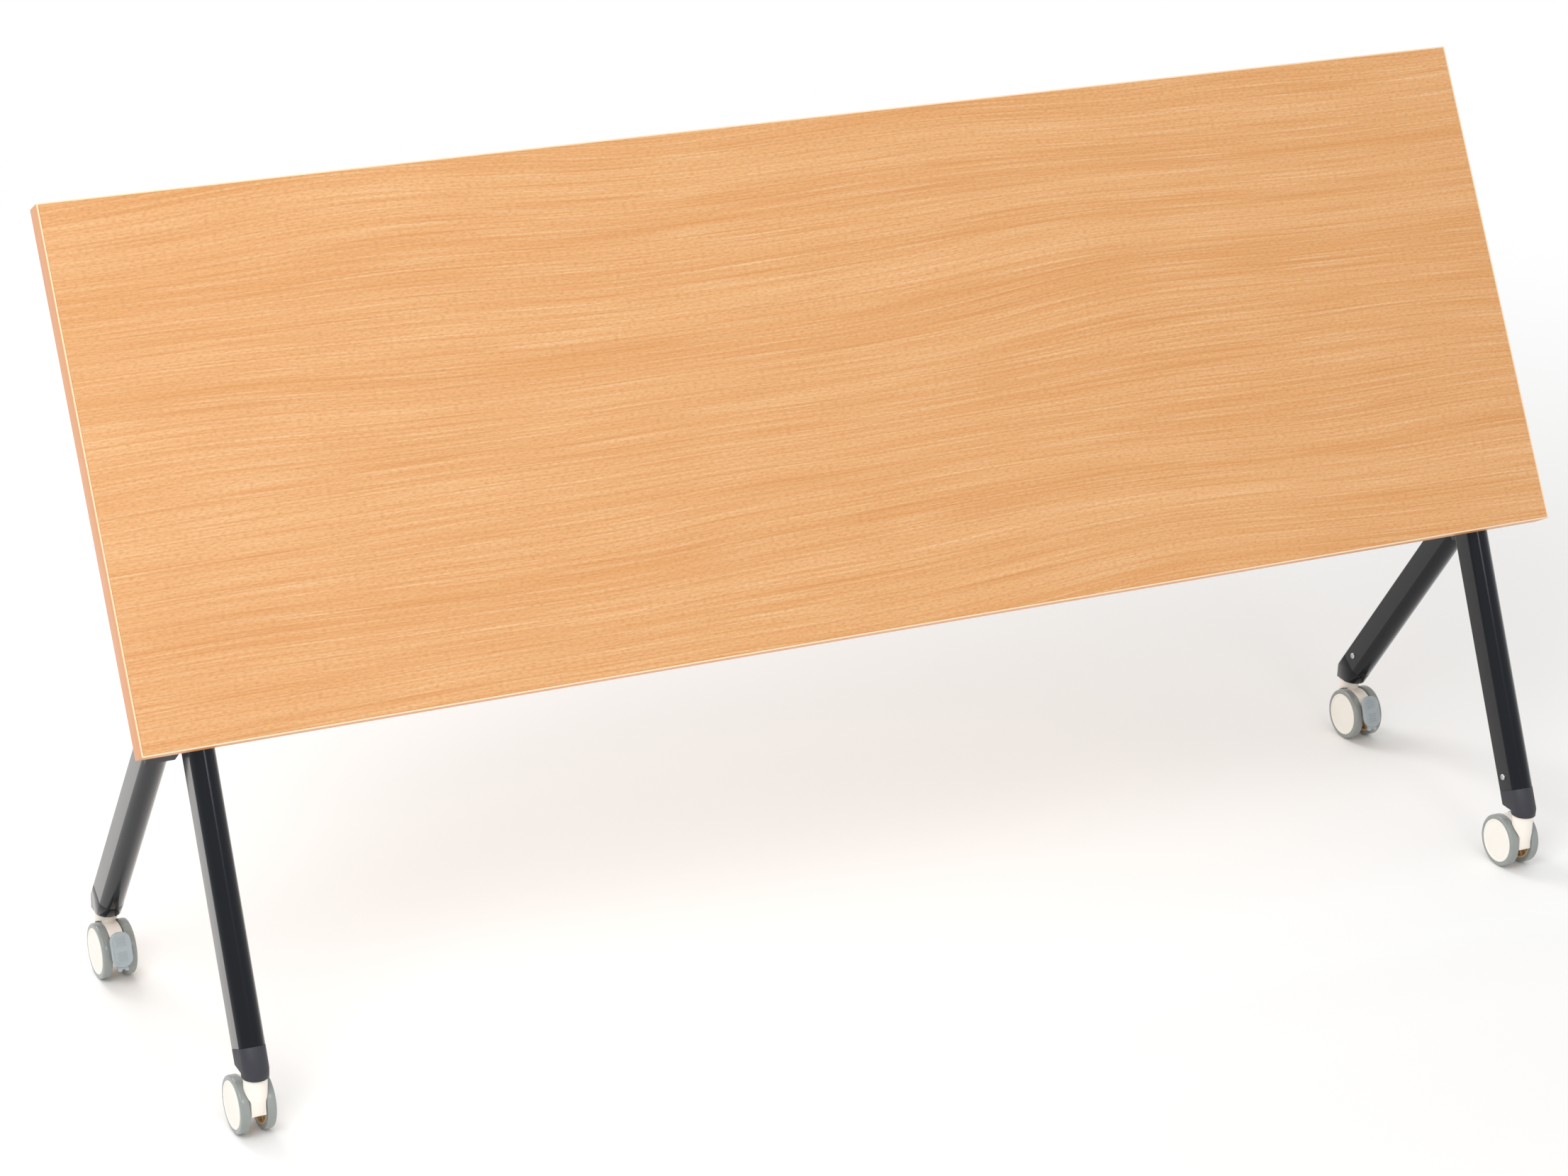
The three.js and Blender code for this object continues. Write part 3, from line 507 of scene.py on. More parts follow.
# Forks: ivory nylon, satin, a touch warmer than the wheels' discs
ivory_nylon = new_finish("ivory moulded nylon", "#F8F1E7", 0.38, IOR=1.53)
skin(ivory_nylon, "#F4EADC", "#FAF5EE", 0.8, 0.012, 0.34, 0.46, 20)
# Hub discs: white ABS from a polished tool, smooth with a low sheen
white_abs = new_finish("white moulded ABS", "#F1EDE5", 0.36, IOR=1.53)
skin(white_abs, "#EEE9E0", "#F4F1EA", 0.9, 0.008, 0.30, 0.42, 30)
# Hub spiders: nylon seen only between the wheels. Its tan is partly the nylon's own colour and
# partly painted shade for the recess there
tan_nylon_painted_shade = new_finish("tan moulded nylon", "#DDBB8A", 0.42, IOR=1.53)
skin(tan_nylon_painted_shade, "#D5AF7A", "#E5C69A", 0.8, 0.02, 0.38, 0.50, 12)
# Treads: cast polyurethane, smooth and slightly waxy, scuffed duller by the floor
tread_rubber = new_finish("grey polyurethane tread", "#8F9491", 0.28, IOR=1.5)
skin(tread_rubber, "#878C89", "#979C99", 1.0, 0.008, 0.12, 0.24, 18)
# Pedals: blue-grey ABS with a fine tool grain
pedal_abs = new_finish("blue grey moulded ABS", "#A3ADB1", 0.4, IOR=1.53)
skin(pedal_abs, "#9CA6AA", "#AAB4B8", 0.7, 0.02, 0.34, 0.46, 20)

print("plain finishes ready")

# %% Finishes on the solids
FINISHES = {
    "beech_laminate": beech,
    "edge_band": band_abs,
    "black_paint": black_paint,
    "dark_casting": casting_paint,
    "dark_plastic": dark_nylon,
    "steel": steel,
    "ivory_plastic": ivory_nylon,
    "white_plastic": white_abs,
    "grey_tread": tread_rubber,
    "grey_plastic": pedal_abs,
}
for entry in frame["record"]["subparts"]:
    mesh = frame["nodes"][entry["node"]].data
    mesh.materials.clear()
    mesh.materials.append(FINISHES[entry["material_slot"]])

# %% [markdown]
# ## The top
# The top is a flat board with its band glued round the edge. Both are modelled level, as in
# use, about the pivot, and then turned up by the tilt. The band starts as a box whose large
# faces are deleted; Solidify gives it its wall, and a bevel rounds the edge that catches light.


# %% Board and edge band
def tilt_up(piece):
    return settle(piece, (0, PIVOT.y, PIVOT.z), (TOP_TILT, 0, 0))


HALF_LENGTH = TOP_LENGTH / 2
BOARD_EDGE = 0.15 * MM
BAND_EDGE = 0.9 * MM
front_edge = -PIVOT_FROM_EDGE
rear_edge = TOP_DEPTH - PIVOT_FROM_EDGE

board = add_block(
    "table_top_board",
    (BAND_THICKNESS - HALF_LENGTH, front_edge + BAND_THICKNESS, PIVOT_DROP),
    (HALF_LENGTH - BAND_THICKNESS, rear_edge - BAND_THICKNESS, WORK_FACE),
)
soften(board, BOARD_EDGE, 1)
finish_piece(tilt_up(board), "top", ["top_board"], beech, "beech_laminate")

band = add_block(
    "table_top_edge_band",
    (-HALF_LENGTH, front_edge, PIVOT_DROP),
    (HALF_LENGTH, rear_edge, WORK_FACE),
)
select_where(band, "FACE", lambda at, way: abs(way.z) > 0.9)
bpy.ops.mesh.delete(type="ONLY_FACE")
bpy.ops.object.mode_set(mode="OBJECT")
modify(band, "SOLIDIFY", thickness=BAND_THICKNESS, offset=-1, use_even_offset=True)
soften(band, BAND_EDGE, 3, 60)
finish_piece(tilt_up(band), "top", ["edge_band"], band_abs, "edge_band")
print("board and band:", len(board.data.polygons), "and", len(band.data.polygons), "faces")

# %% [markdown]
# ## The leg tubes
# A leg is a D-shaped tube with flat back and sides and a rounded nose that meets the sides in
# a crisp crease. A cylinder of the nose's radius is cut along the crease, its cut face is
# pulled back into the flat sides, and the back edges get a small bevel.
# It is modelled upright from the foot and then leaned over to the frame's line.


# %% Leg tubes
def leg_line(end, side):
    """A leg's foot, on the stem's axis, and its turn about X."""
    stem = middle(f"{end}_{side}_caster_stem")
    foot = Vector((stem.x, stem.y, FOOT_HEIGHT))
    joint_y = middle("front_left_caster_stem").y + JOINT_BEHIND_FOOT
    lean = math.atan2(joint_y - foot.y, JOINT_HEIGHT - FOOT_HEIGHT)
    return foot, -lean


NOSE_DEPTH = 11 * MM
NOSE_RADIUS = ((LEG_WIDTH / 2) ** 2 + NOSE_DEPTH ** 2) / (2 * NOSE_DEPTH)
CREASE = NOSE_DEPTH - LEG_DEPTH / 2
BACK_ROUND = 2.5 * MM
CREASE_ANGLE = 13


def leg_bar(name, bottom, top):
    """A length of the leg's section, upright, with its nose to the front."""
    centre = NOSE_RADIUS - LEG_DEPTH / 2
    piece = add_round(name, NOSE_RADIUS, (0, centre, bottom), (0, centre, top), 128)
    trim(piece, (0, CREASE, 0), (0, 1, 0))
    select_where(piece, "FACE", lambda at, way: way.y > 0.99)
    backwards = {"value": (0, LEG_DEPTH / 2 - CREASE, 0)}
    bpy.ops.mesh.extrude_region_move(TRANSFORM_OT_translate=backwards)
    bpy.ops.object.mode_set(mode="OBJECT")
    bevel_where(piece, lambda at, way: abs(way.z) > 0.9 and at.y > 0.45 * LEG_DEPTH, BACK_ROUND, 8)
    return piece


ENDS = ("front", "rear")
for end in ENDS:
    for side in SIDES:
        foot, turn = leg_line(end, side)
        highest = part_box(f"{end}_leg_{side}")[1].z - LEG_DEPTH / 2 * abs(math.sin(turn))
        top = (highest - FOOT_HEIGHT) / math.cos(turn)
        leg = settle(leg_bar(f"{end}_{side}_leg_tube", CAP_SEAM, top), foot, (turn, 0, 0))
        finish_piece(leg, "frame", [f"{end}_leg_{side}"], black_paint, "black_paint", CREASE_ANGLE)
        lean = round(-math.degrees(turn), 1)
        print(leg.name, "leans", lean, "degrees and is", round((top - CAP_SEAM) / MM, 1), "mm long")

# %% [markdown]
# ## The foot caps
# A moulded cap closes each tube and holds the caster's stem. It goes on in the leg's own
# section. The front one turns upright where it meets the round of its socket, and behind that
# it is cut back so that only the round reaches down to the caster; the rear one is cut off
# upright at the back. Booleans keep what lies inside the round and clear the heel behind it.


# %% Foot caps
def cap_stock(end, side):
    """A length of the leg's section, cut off level at the bottom, and the foot it is round."""
    foot, turn = leg_line(end, side)
    stock = leg_bar(f"{end}_{side}_cap", STOCK_FOOT, CAP_SEAM - FIT_GAP)
    settle(stock, foot, (turn, 0, 0))
    trim(stock, (0, 0, CAP_BOTTOM), (0, 0, -1))
    return stock, foot


STOCK_FOOT = -90 * MM
SOCKET_RADIUS = LEG_WIDTH / 2 + FIT_GAP / 10
SOCKET_CORNER = 0.99 * SOCKET_RADIUS
HEEL_HEIGHT = 4.4 * MM
REAR_HEEL = 7.5 * MM
CAP_EDGE = 0.5 * MM


def front_cap(side):
    cap, foot = cap_stock("front", side)
    low, high = CAP_BOTTOM - LEG_WIDTH, CAP_BOTTOM + 2 * LEG_WIDTH
    upright = add_block(
        "upright",
        (foot.x - SOCKET_RADIUS, foot.y - SOCKET_RADIUS, low),
        (foot.x + SOCKET_RADIUS, foot.y + 2 * LEG_DEPTH, high),
    )
    bevel_where(upright, lambda at, way: abs(way.z) > 0.9 and at.y < foot.y, SOCKET_CORNER, 24)
    combine(cap, upright, "INTERSECT")
    heel = add_block(
        "heel",
        (foot.x - LEG_WIDTH, foot.y, low),
        (foot.x + LEG_WIDTH, foot.y + 2 * LEG_DEPTH, CAP_BOTTOM + HEEL_HEIGHT),
    )
    bottom, top = (foot.x, foot.y, low - LEG_WIDTH), (foot.x, foot.y, high)
    combine(heel, add_round("stub", SOCKET_RADIUS, bottom, top, 96), "DIFFERENCE")
    combine(cap, heel, "DIFFERENCE")
    return cap


def rear_cap(side):
    cap, foot = cap_stock("rear", side)
    trim(cap, (0, foot.y + REAR_HEEL, 0), (0, 1, 0))
    return cap


print("cap tools ready")

# %% Four foot caps
CAP_KINDS = (
    ("front", front_cap, dark_nylon, "dark_plastic"),
    ("rear", rear_cap, black_paint, "black_paint"),
)
for side in SIDES:
    for end, make, finish, slot in CAP_KINDS:
        cap = make(side)
        soften(cap, CAP_EDGE, 2, 40)
        finish_piece(cap, "frame", [f"{end}_foot_cap_{side}"], finish, slot)
        size = Vector(cap.dimensions) / MM
        print(cap.name, len(cap.data.polygons), "faces,", [round(x, 1) for x in size], "mm")

# %% [markdown]
# ## The cap screws
# A pan head with a cross recess holds each cap from the inner side of the tube. One is
# modelled at the origin: a short cylinder with a rounded rim, and a cross cut into it with
# two thin blocks. The rest are copies.

# %% Cap screws
HEAD_RADIUS = 3.8 * MM
HEAD_HEIGHT = 2 * MM
HEAD_ROUND = 1.1 * MM
CROSS_LONG = 2.2 * MM
CROSS_NARROW = 0.5 * MM
CROSS_FLOOR = -1.1 * MM

screw = add_round("screw", HEAD_RADIUS, (0, 0, 0), (-HEAD_HEIGHT, 0, 0), 32)
bevel_where(screw, lambda at, way: at.x < -0.9 * HEAD_HEIGHT, HEAD_ROUND, 4)
for y, z in ((CROSS_NARROW, CROSS_LONG), (CROSS_LONG, CROSS_NARROW)):
    cross = add_block("cross", (-1.5 * HEAD_HEIGHT, -y, -z), (CROSS_FLOOR, y, z))
    combine(screw, cross, "DIFFERENCE")
for end in ENDS:
    for side, sign in SIDES.items():
        foot, _ = leg_line(end, side)
        centre = middle(f"{end}_cap_screw_{side}")
        place = (foot.x - sign * LEG_WIDTH / 2, centre.y, centre.z)
        flip = 0 if sign > 0 else math.pi
        twin = copy_piece(screw, f"{end}_{side}_cap_screw_head", place, (0, 0, flip))
        finish_piece(twin, "frame", [f"{end}_cap_screw_{side}"], steel, "steel")
remove(screw)
print("cap screws placed on the inner faces")

# %% [markdown]
# ## The caster wheels
# Each wheel is a white disc on a tan spider, in a grey tread. The disc's face is inset and sunk
# a little to leave a fine rim. The spider is a cup with a boss and twelve ribs, which shows
# between the two wheels. The tread is a ring with a flat run and small round shoulders.

# %% Wheel disc
# Places closer together than this count as the same
NEAR = 0.1 * MM
WHEEL_INNER = 9.5 * MM
WHEEL_OUTER = 21 * MM
HUB_RADIUS = 27 * MM
DISC_BACK = WHEEL_OUTER - 4 * MM
DISC_FACE = WHEEL_OUTER - 0.4 * MM
DISC_ROUND = 0.7 * MM
# The width and rise in mm of each step of the face, from the rim to the middle
DISC_STEPS = ((1.6, 0), (0.35, -0.5), (9, 0.45), (8, 0.25))

hub = add_round("hub", HUB_RADIUS, (DISC_BACK, 0, 0), (DISC_FACE, 0, 0), 72)
bevel_where(hub, lambda at, way: at.x > DISC_FACE - NEAR, DISC_ROUND, 3)
select_where(hub, "FACE", lambda at, way: way.x > 0.99)
for width, rise in DISC_STEPS:
    bpy.ops.mesh.inset(thickness=width * MM, depth=rise * MM)
bpy.ops.object.mode_set(mode="OBJECT")
print(hub.name, len(hub.data.polygons), "faces")

# %% Wheel spider
CUP_END = DISC_BACK - FIT_GAP / 10
CUP_WALL = 2 * MM
CUP_DRAFT = 0.5 * MM
CUP_DEPTH = 6.5 * MM
BOSS_RADIUS = 9 * MM
RIB_COUNT = 12
RIB_LOW = (WHEEL_INNER + 1 * MM, -0.8 * MM, 8 * MM)
RIB_HIGH = (CUP_END, 0.8 * MM, 25 * MM)

spider = add_round("spider", HUB_RADIUS, (WHEEL_INNER, 0, 0), (CUP_END, 0, 0), 72)
select_where(spider, "FACE", lambda at, way: way.x < -0.99)
bpy.ops.mesh.inset(thickness=CUP_WALL)
bpy.ops.mesh.inset(thickness=CUP_DRAFT, depth=-CUP_DEPTH)
bpy.ops.object.mode_set(mode="OBJECT")
boss = add_round("boss", BOSS_RADIUS, (WHEEL_INNER, 0, 0), (CUP_END, 0, 0), 32)
ribs = []
for k in range(RIB_COUNT):
    rib = add_block("rib", RIB_LOW, RIB_HIGH)
    ribs.append(settle(rib, turn=(k * 2 * math.pi / RIB_COUNT, 0, 0)))
spider = merge(spider, boss, *ribs)
print(spider.name, len(spider.data.polygons), "faces")


# %% Wheel tread
def rim_at(x):
    """Picks the edges of the tread's rim at this place along the axle."""
    def test(at, way):
        return abs(at.x - x) < NEAR and Vector((at.y, at.z)).length > WHEEL_RADIUS - 2 * NEAR
    return test


TREAD_FACE = WHEEL_OUTER - 0.8 * MM
TREAD_GAP = 0.05 * MM
OUTER_SHOULDER = 2.4 * MM
INNER_SHOULDER = 1.3 * MM

tread = add_round("tread", WHEEL_RADIUS, (WHEEL_INNER, 0, 0), (TREAD_FACE, 0, 0), 96)
select_where(tread, "FACE", lambda at, way: abs(way.x) > 0.99)
bpy.ops.mesh.inset(thickness=WHEEL_RADIUS - HUB_RADIUS - TREAD_GAP)
bpy.ops.mesh.bridge_edge_loops()
bpy.ops.object.mode_set(mode="OBJECT")
bevel_where(tread, rim_at(TREAD_FACE), OUTER_SHOULDER, 5)
bevel_where(tread, rim_at(WHEEL_INNER), INNER_SHOULDER, 3)
print(tread.name, len(tread.data.polygons), "faces")

# %% Eight wheels
WHEEL_PIECES = (
    (hub, "hub", white_abs, "white_plastic"),
    (spider, "hub", tan_nylon_painted_shade, "ivory_plastic"),
    (tread, "tread", tread_rubber, "grey_tread"),
)
for end in ENDS:
    for side in SIDES:
        stem = middle(f"{end}_{side}_caster_stem")
        for place in ("inner", "outer"):
            at = middle(f"{end}_{side}_wheel_hub_{place}")
            turn = (0, 0, 0 if at.x > stem.x else math.pi)
            body = f"{end}_{side}_wheel_{place}"
            for model, kind, finish, slot in WHEEL_PIECES:
                name = f"{body}_{model.name}_shape"
                twin = copy_piece(model, name, (stem.x, at.y, at.z), turn)
                finish_piece(twin, body, [f"{end}_{side}_wheel_{kind}_{place}"], finish, slot)
remove(hub, spider, tread)
print("wheels placed")

# %% [markdown]
# ## The caster forks
# A fork is one ivory moulding: a round collar under the cap, which runs on down as the front of
# a column, a web between the wheels with a hood over them, and a boss for the axle. The room
# that the wheels need is cut out of the collar, which leaves its hollow shoulders, and then the
# cylinders and a block are joined. Edges are rounded before that, while each is still simple.

# %% Fork sizes
AXLE = Vector((0, CASTER_TRAIL, WHEEL_RADIUS))
WEB_HALF = 8.5 * MM
WEB_FOOT = 31 * MM
HOOD_RADIUS = 31 * MM
HOOD_EDGE = 1 * MM
COLLAR_RADIUS = 13 * MM
COLLAR_FOOT = WEB_FOOT + 2 * MM
COLLAR_TOP = CAP_BOTTOM - FIT_GAP
COLLAR_EDGE = 0.7 * MM
COLUMN_LOW = (-8.4 * MM, -8 * MM, WEB_FOOT + 1 * MM)
COLUMN_HIGH = (8.4 * MM, 9 * MM, 52 * MM)
ROOM_RADIUS = WHEEL_RADIUS + 1.2 * MM
ROOM_WALL = 8.2 * MM
ROOM_END = 30 * MM
BOSS_HALF = WEB_HALF - 0.4 * MM
PEDAL_PIVOT = 24 * MM
PEDAL_LIFT = math.radians(24)
SLOT_LOW = (-12 * MM, PEDAL_PIVOT - 4.5 * MM, -16 * MM)
SLOT_HIGH = (12 * MM, 40 * MM, 8.5 * MM)
UNION_GAP = 0.03 * MM
print("the axle lies", round(CASTER_TRAIL / MM), "mm behind the stem")


# %% Fork tools
def across(name, radius, half, vertices):
    """A cylinder along the axle."""
    side = Vector((half, 0, 0))
    return add_round(name, radius, AXLE - side, AXLE + side, vertices)


def lift(piece):
    """Turns a pedal part, drawn level from the axle, up to its place."""
    return settle(piece, AXLE, (PEDAL_LIFT, 0, 0))


def make_fork(is_braked):
    fork = across("fork", HOOD_RADIUS, WEB_HALF, 96)
    bevel_where(fork, lambda at, way: abs(at.x) > WEB_HALF - NEAR, HOOD_EDGE, 3)
    trim(fork, (0, 0, WEB_FOOT), (0, 0, -1))
    collar = add_round("collar", COLLAR_RADIUS, (0, 0, COLLAR_FOOT), (0, 0, COLLAR_TOP), 64)
    bevel_where(collar, lambda at, way: abs(way.z) < 0.1, COLLAR_EDGE, 2)
    for sign in (-1, 1):
        near = AXLE + Vector((sign * ROOM_WALL, 0, 0))
        far = AXLE + Vector((sign * ROOM_END, 0, 0))
        combine(collar, add_round("room", ROOM_RADIUS, near, far, 96), "DIFFERENCE")
    column = add_block("column", COLUMN_LOW, COLUMN_HIGH)
    boss = across("boss", BOSS_RADIUS, BOSS_HALF, 48)
    for part in (column, boss, collar):
        combine(fork, part, "UNION")
    if is_braked:
        combine(fork, lift(add_block("slot", SLOT_LOW, SLOT_HIGH)), "DIFFERENCE")
    merge_points(fork, UNION_GAP)
    return fork


print("fork tools ready")

# %% Four forks
for end in ENDS:
    fork = make_fork(end == "rear")
    turn = (0, 0, 0 if end == "front" else math.pi)
    for side in SIDES:
        stem = middle(f"{end}_{side}_caster_stem")
        twin = copy_piece(fork, f"{end}_{side}_fork_moulding", (stem.x, stem.y, 0), turn)
        nodes = [f"{end}_{side}_caster_fork"]
        finish_piece(twin, f"{end}_{side}_caster", nodes, ivory_nylon, "ivory_plastic")
    print(end, "fork", len(fork.data.polygons), "faces")
    remove(fork)

# %% [markdown]
# ## The brake pedals
# Each rear caster has a rocker pedal across the front of its wheels: a plate with round ends,
# a raised rim, two groups of four ribs for the shoe, and a small notched tab below. It is drawn
# level, straight out from the axle, and then lifted round the axle to its place.

# %% Pedal plate
PEDAL_BACK = 36 * MM
PEDAL_FACE = 40 * MM
PEDAL_HALF_WIDTH = 12 * MM
PEDAL_HALF_HEIGHT = 20 * MM
PEDAL_CORNER = 10.5 * MM
PEDAL_EDGE = 1 * MM
PEDAL_RIM = 1.4 * MM
FIELD_STEP = 0.5 * MM
FIELD_DEPTH = 0.4 * MM

pedal = add_block(
    "pedal",
    (-PEDAL_HALF_WIDTH, PEDAL_BACK, -PEDAL_HALF_HEIGHT),
    (PEDAL_HALF_WIDTH, PEDAL_FACE, PEDAL_HALF_HEIGHT),
)
bevel_where(pedal, lambda at, way: abs(way.y) > 0.9, PEDAL_CORNER, 10)
bevel_where(pedal, lambda at, way: at.y > PEDAL_FACE - NEAR, PEDAL_EDGE, 3)
select_where(pedal, "FACE", lambda at, way: way.y > 0.99)
bpy.ops.mesh.inset(thickness=PEDAL_RIM)
bpy.ops.mesh.inset(thickness=FIELD_STEP, depth=-FIELD_DEPTH)
bpy.ops.object.mode_set(mode="OBJECT")
print("pedal plate", len(pedal.data.polygons), "faces")

# %% Pedal ribs, arm and tab
RIDGES = 4
RIDGE_FIRST = 4.2 * MM
RIDGE_PITCH = 3.1 * MM
RIDGE_HALF_LENGTH = 5.5 * MM
RIDGE_HALF_WIDTH = 0.65 * MM
RIDGE_FOOT = PEDAL_FACE - 1.3 * MM
RIDGE_TOP = PEDAL_FACE + 0.4 * MM
RIDGE_EDGE = 0.35 * MM
ARM_HALF_WIDTH = 5 * MM
ARM_HALF_HEIGHT = 4 * MM
TAB_LOW = (-6 * MM, PEDAL_BACK - 5 * MM, -25 * MM)
TAB_HIGH = (6 * MM, PEDAL_BACK, -12 * MM)
TAB_EDGE = 0.6 * MM
NOTCH_LOW = (-2 * MM, PEDAL_BACK - 6 * MM, -26 * MM)
NOTCH_HIGH = (2 * MM, PEDAL_BACK + 2 * MM, -23 * MM)

ridges = []
for group in (-1, 1):
    for k in range(RIDGES):
        z = group * (RIDGE_FIRST + RIDGE_PITCH * k)
        ridge = add_block(
            "ridge",
            (-RIDGE_HALF_LENGTH, RIDGE_FOOT, z - RIDGE_HALF_WIDTH),
            (RIDGE_HALF_LENGTH, RIDGE_TOP, z + RIDGE_HALF_WIDTH),
        )
        soften(ridge, RIDGE_EDGE)
        ridges.append(ridge)
arm = add_block(
    "arm",
    (-ARM_HALF_WIDTH, PEDAL_PIVOT, -ARM_HALF_HEIGHT),
    (ARM_HALF_WIDTH, PEDAL_BACK + 1 * MM, ARM_HALF_HEIGHT),
)
knuckle_left, knuckle_right = (-ARM_HALF_WIDTH, PEDAL_PIVOT, 0), (ARM_HALF_WIDTH, PEDAL_PIVOT, 0)
knuckle = add_round("knuckle", ARM_HALF_HEIGHT, knuckle_left, knuckle_right, 24)
tab = add_block("tab", TAB_LOW, TAB_HIGH)
combine(tab, add_block("notch", NOTCH_LOW, NOTCH_HIGH), "DIFFERENCE")
soften(tab, TAB_EDGE)
pedal = lift(merge(pedal, arm, knuckle, tab, *ridges))
print("pedal with", len(ridges), "ribs:", len(pedal.data.polygons), "faces")

# %% Two pedals
for side in SIDES:
    stem = middle(f"rear_{side}_caster_stem")
    turn = (0, 0, math.pi)
    twin = copy_piece(pedal, f"rear_{side}_pedal_rocker", (stem.x, stem.y, 0), turn)
    nodes = [f"rear_{side}_brake_pedal"]
    finish_piece(twin, f"rear_{side}_pedal", nodes, pedal_abs, "grey_plastic")
remove(pedal)
print("pedals placed")

# %% [markdown]
# ## Hinge, beam and lock behind the top
# Seen from behind, two castings join the legs, posts carry the hinge heads, and a square beam
# with a turn handle ties the ends together. Their solids already have the right shape, so each
# is copied, its loose triangles are merged into whole faces, and its edges are rounded: widely
# on the castings and the grip, and only a little on the pressed brackets and the turned pins.


# %% Pieces behind the top
scene = bpy.context.scene


def from_solid(node, name, edge):
    """A copy of a solid, its triangles merged into faces and its edges rounded."""
    twin = bpy.data.objects.new(name, frame["nodes"][node].data.copy())
    scene.collection.objects.link(twin)
    merge_points(twin, NEAR)
    merge_flat(twin)
    soften(twin, edge, 3, 40)
    return twin


# The body that carries each solid, and how far its edges are rounded, in mm
hidden = {"crossbeam": ("frame", 3.0), "turn_handle": ("release_handle", 2.0)}
for side in SIDES:
    hidden[f"frame_joint_{side}"] = ("frame", 2.0)
    hidden[f"upper_post_{side}"] = ("frame", 2.5)
    hidden[f"hinge_head_{side}"] = ("frame", 1.5)
    hidden[f"pivot_pin_{side}"] = ("frame", 0.8)
    hidden[f"hinge_bracket_{side}"] = ("top", 0.8)
    hidden[f"lock_rod_{side}"] = (f"lock_rod_{side}", 0.5)
slots = {entry["node"]: entry["material_slot"] for entry in frame["record"]["subparts"]}
for node, (body, edge) in hidden.items():
    piece = from_solid(node, f"{node}_shape", edge * MM)
    finish_piece(piece, body, [node], FINISHES[slots[node]], slots[node], 40)
    print(piece.name, len(piece.data.polygons), "faces")

# %% [markdown]
# ## Floor, light and camera
# A wide pale floor and a bright, even surround stand in for the white studio. A large soft lamp
# at the left front is the main light, a small one in front draws the gleam on the round noses
# of the legs, and one behind keeps the back and the floor there as light as the front.
# The camera is where the photograph was taken from, a little above the top and to the left.

# %% Floor
FLOOR_SIZE = 40
deselect()
bpy.ops.mesh.primitive_plane_add(size=FLOOR_SIZE)
floor = bpy.context.object
floor.name = "studio_floor"
floor_paint = new_finish("matte white studio floor", "#F8F8F7", 0.95)
floor.data.materials.append(floor_paint)
floor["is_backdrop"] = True
print("floor", FLOOR_SIZE, "m wide")


# %% Fade of the floor
def shown_rays(surface):
    """1 for the eye and for shiny surfaces, 0 for the rays that light matte ones."""
    rays = add_node(surface, "ShaderNodeLightPath").outputs
    shown = rays["Is Camera Ray"]
    for ray in ("Is Glossy Ray", "Is Transmission Ray"):
        shown = add_node(
            surface, "ShaderNodeMath", {0: shown, 1: rays[ray]}, operation="MAXIMUM",
        ).outputs["Value"]
    return shown


# Near the table the floor is matte and takes its shadow; further out it fades into the room
FLOOR_NEAR = 1.5
FLOOR_FAR = 3.0
floor_place = add_node(floor_paint, "ShaderNodeTexCoord").outputs["Object"]
away = add_node(
    floor_paint, "ShaderNodeVectorMath", {0: floor_place}, operation="LENGTH",
).outputs["Value"]
fade = add_node(
    floor_paint, "ShaderNodeMapRange", {"Value": away},
    {"From Min": FLOOR_NEAR, "From Max": FLOOR_FAR}, interpolation_type="SMOOTHSTEP",
).outputs["Result"]
faded = add_node(
    floor_paint, "ShaderNodeMath", {0: fade, 1: shown_rays(floor_paint)}, operation="MULTIPLY",
).outputs["Value"]
nodes = floor_paint.node_tree.nodes
matte = nodes["Principled BSDF"].outputs["BSDF"]
white = add_node(floor_paint, "ShaderNodeEmission").outputs["Emission"]
fading = add_node(
    floor_paint, "ShaderNodeMixShader", {0: faded, 1: matte, 2: white},
).outputs["Shader"]
floor_paint.node_tree.links.new(fading, nodes["Material Output"].inputs["Surface"])
print("floor ready, white beyond", FLOOR_FAR, "m")

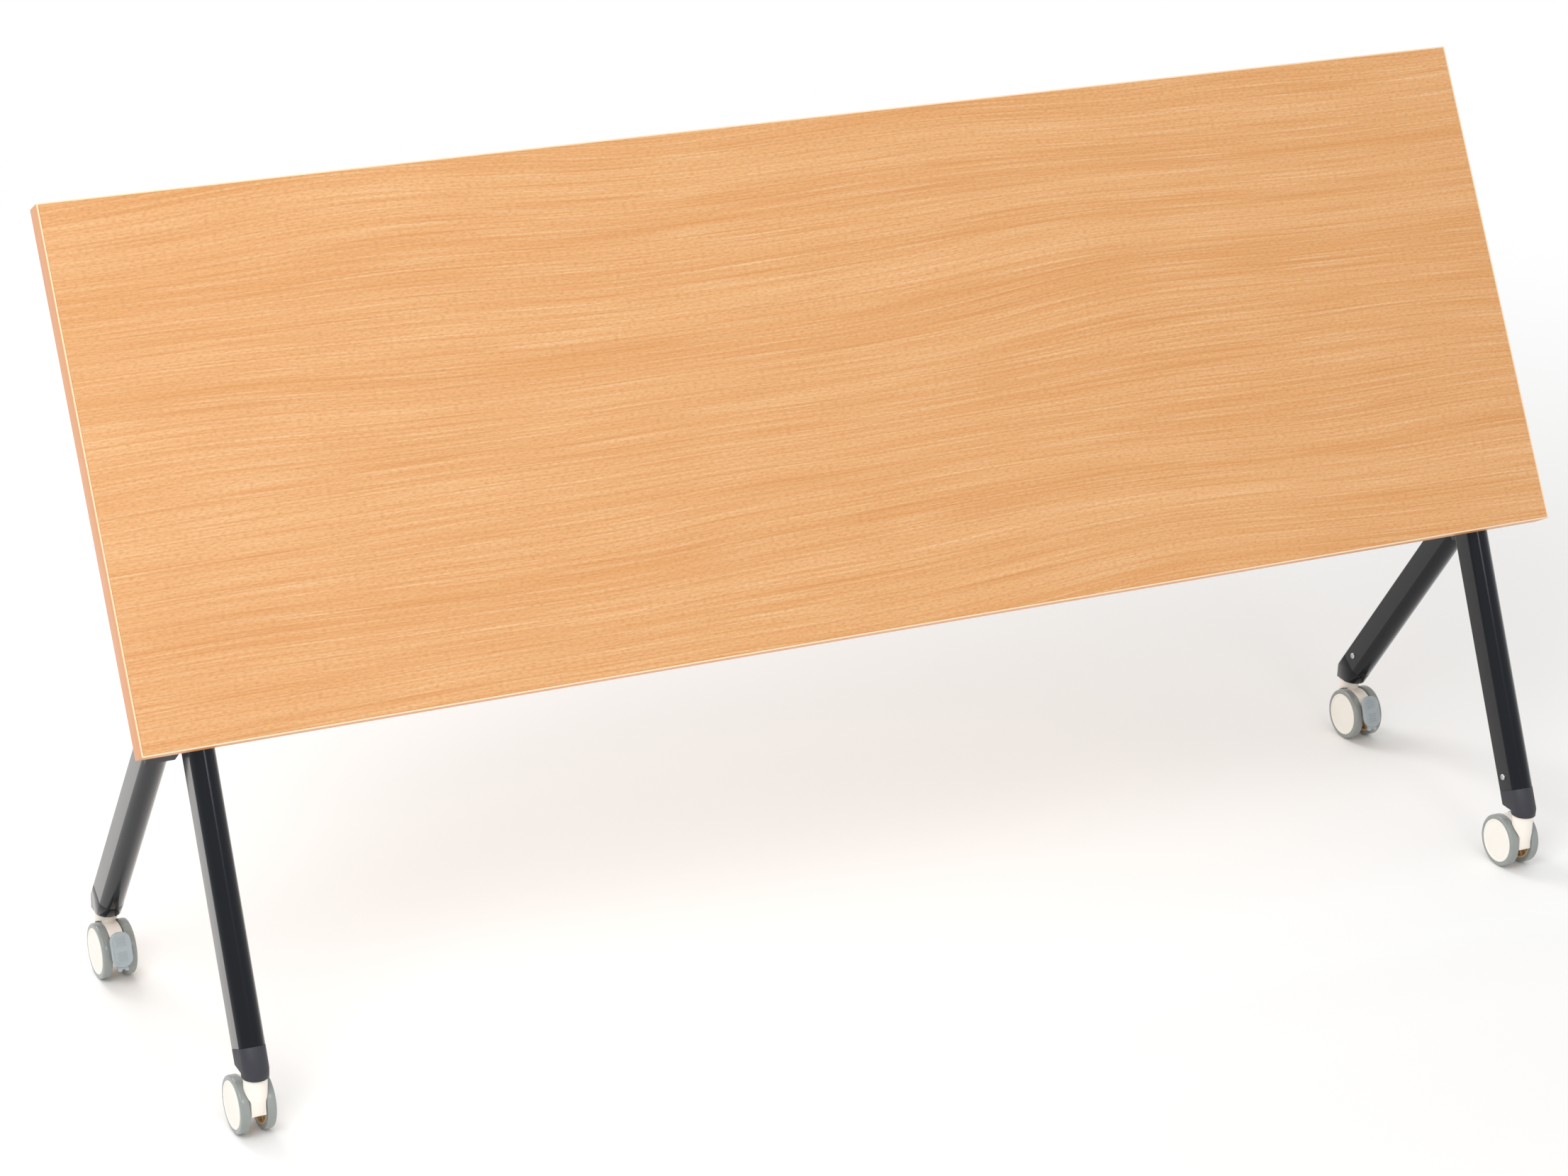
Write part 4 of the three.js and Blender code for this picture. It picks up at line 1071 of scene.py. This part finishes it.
# %% Light
scene.view_settings.view_transform = "Standard"
world = bpy.data.worlds.new("white studio")
scene.world = world
world.use_nodes = True
surround = world.node_tree.nodes["Background"]
surround.inputs["Color"].default_value = (1, 1, 1, 1)

# Eye and shiny surfaces see a white room; matte surfaces get a little less light from it
ROOM_LIGHT = 0.74
strength = add_node(
    world, "ShaderNodeMapRange", {"Value": shown_rays(world)},
    {"To Min": ROOM_LIGHT, "To Max": 1.0},
).outputs["Result"]
world.node_tree.links.new(strength, surround.inputs["Strength"])


def add_lamp(name, place, aim, size, watts):
    deselect()
    bpy.ops.object.light_add(type="AREA", location=place)
    lamp = bpy.context.object
    lamp.name = name
    lamp.data.size = size
    lamp.data.energy = watts
    lamp.rotation_euler = (Vector(aim) - Vector(place)).to_track_quat("-Z", "Y").to_euler()


add_lamp("key softbox", (-2.6, -2.2, 3.6), (0, 0, 0.5), 2.4, 80)
add_lamp("front softbox", (0.2, -4.6, 3.2), (0, 0, 0.5), 1.0, 20)
add_lamp("back softbox", (-1.2, 2.4, 2.6), (-1.1, 0.8, 0), 1.8, 42)
print("room and lamps ready")

# %% Camera
IMAGE_WIDTH = 2212
FOCAL_PIXELS = 5920.5
CAMERA_PLACE = (-2.12436, -3.91985, 2.33969)
CAMERA_TURN = (66.6516, -2.0564, -26.4357)
camera_data = bpy.data.cameras.new("photograph camera")
camera_data.sensor_width = 36
camera_data.lens = FOCAL_PIXELS * camera_data.sensor_width / IMAGE_WIDTH
camera_data.clip_end = 100
camera = bpy.data.objects.new("photograph camera", camera_data)
scene.collection.objects.link(camera)
camera.location = CAMERA_PLACE
camera.rotation_euler = [math.radians(angle) for angle in CAMERA_TURN]
scene.camera = camera
print("camera lens", round(camera_data.lens, 1), "mm")

# %% [markdown]
# ## The size of the frame and of the dressed table
# The dressed table should keep the size of its frame, so both boxes are printed.

new_low, new_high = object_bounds()
for name, size in (("frame", cad_high - cad_low), ("dressed", new_high - new_low)):
    print(name, "measures", [round(x, 4) for x in size], "m")
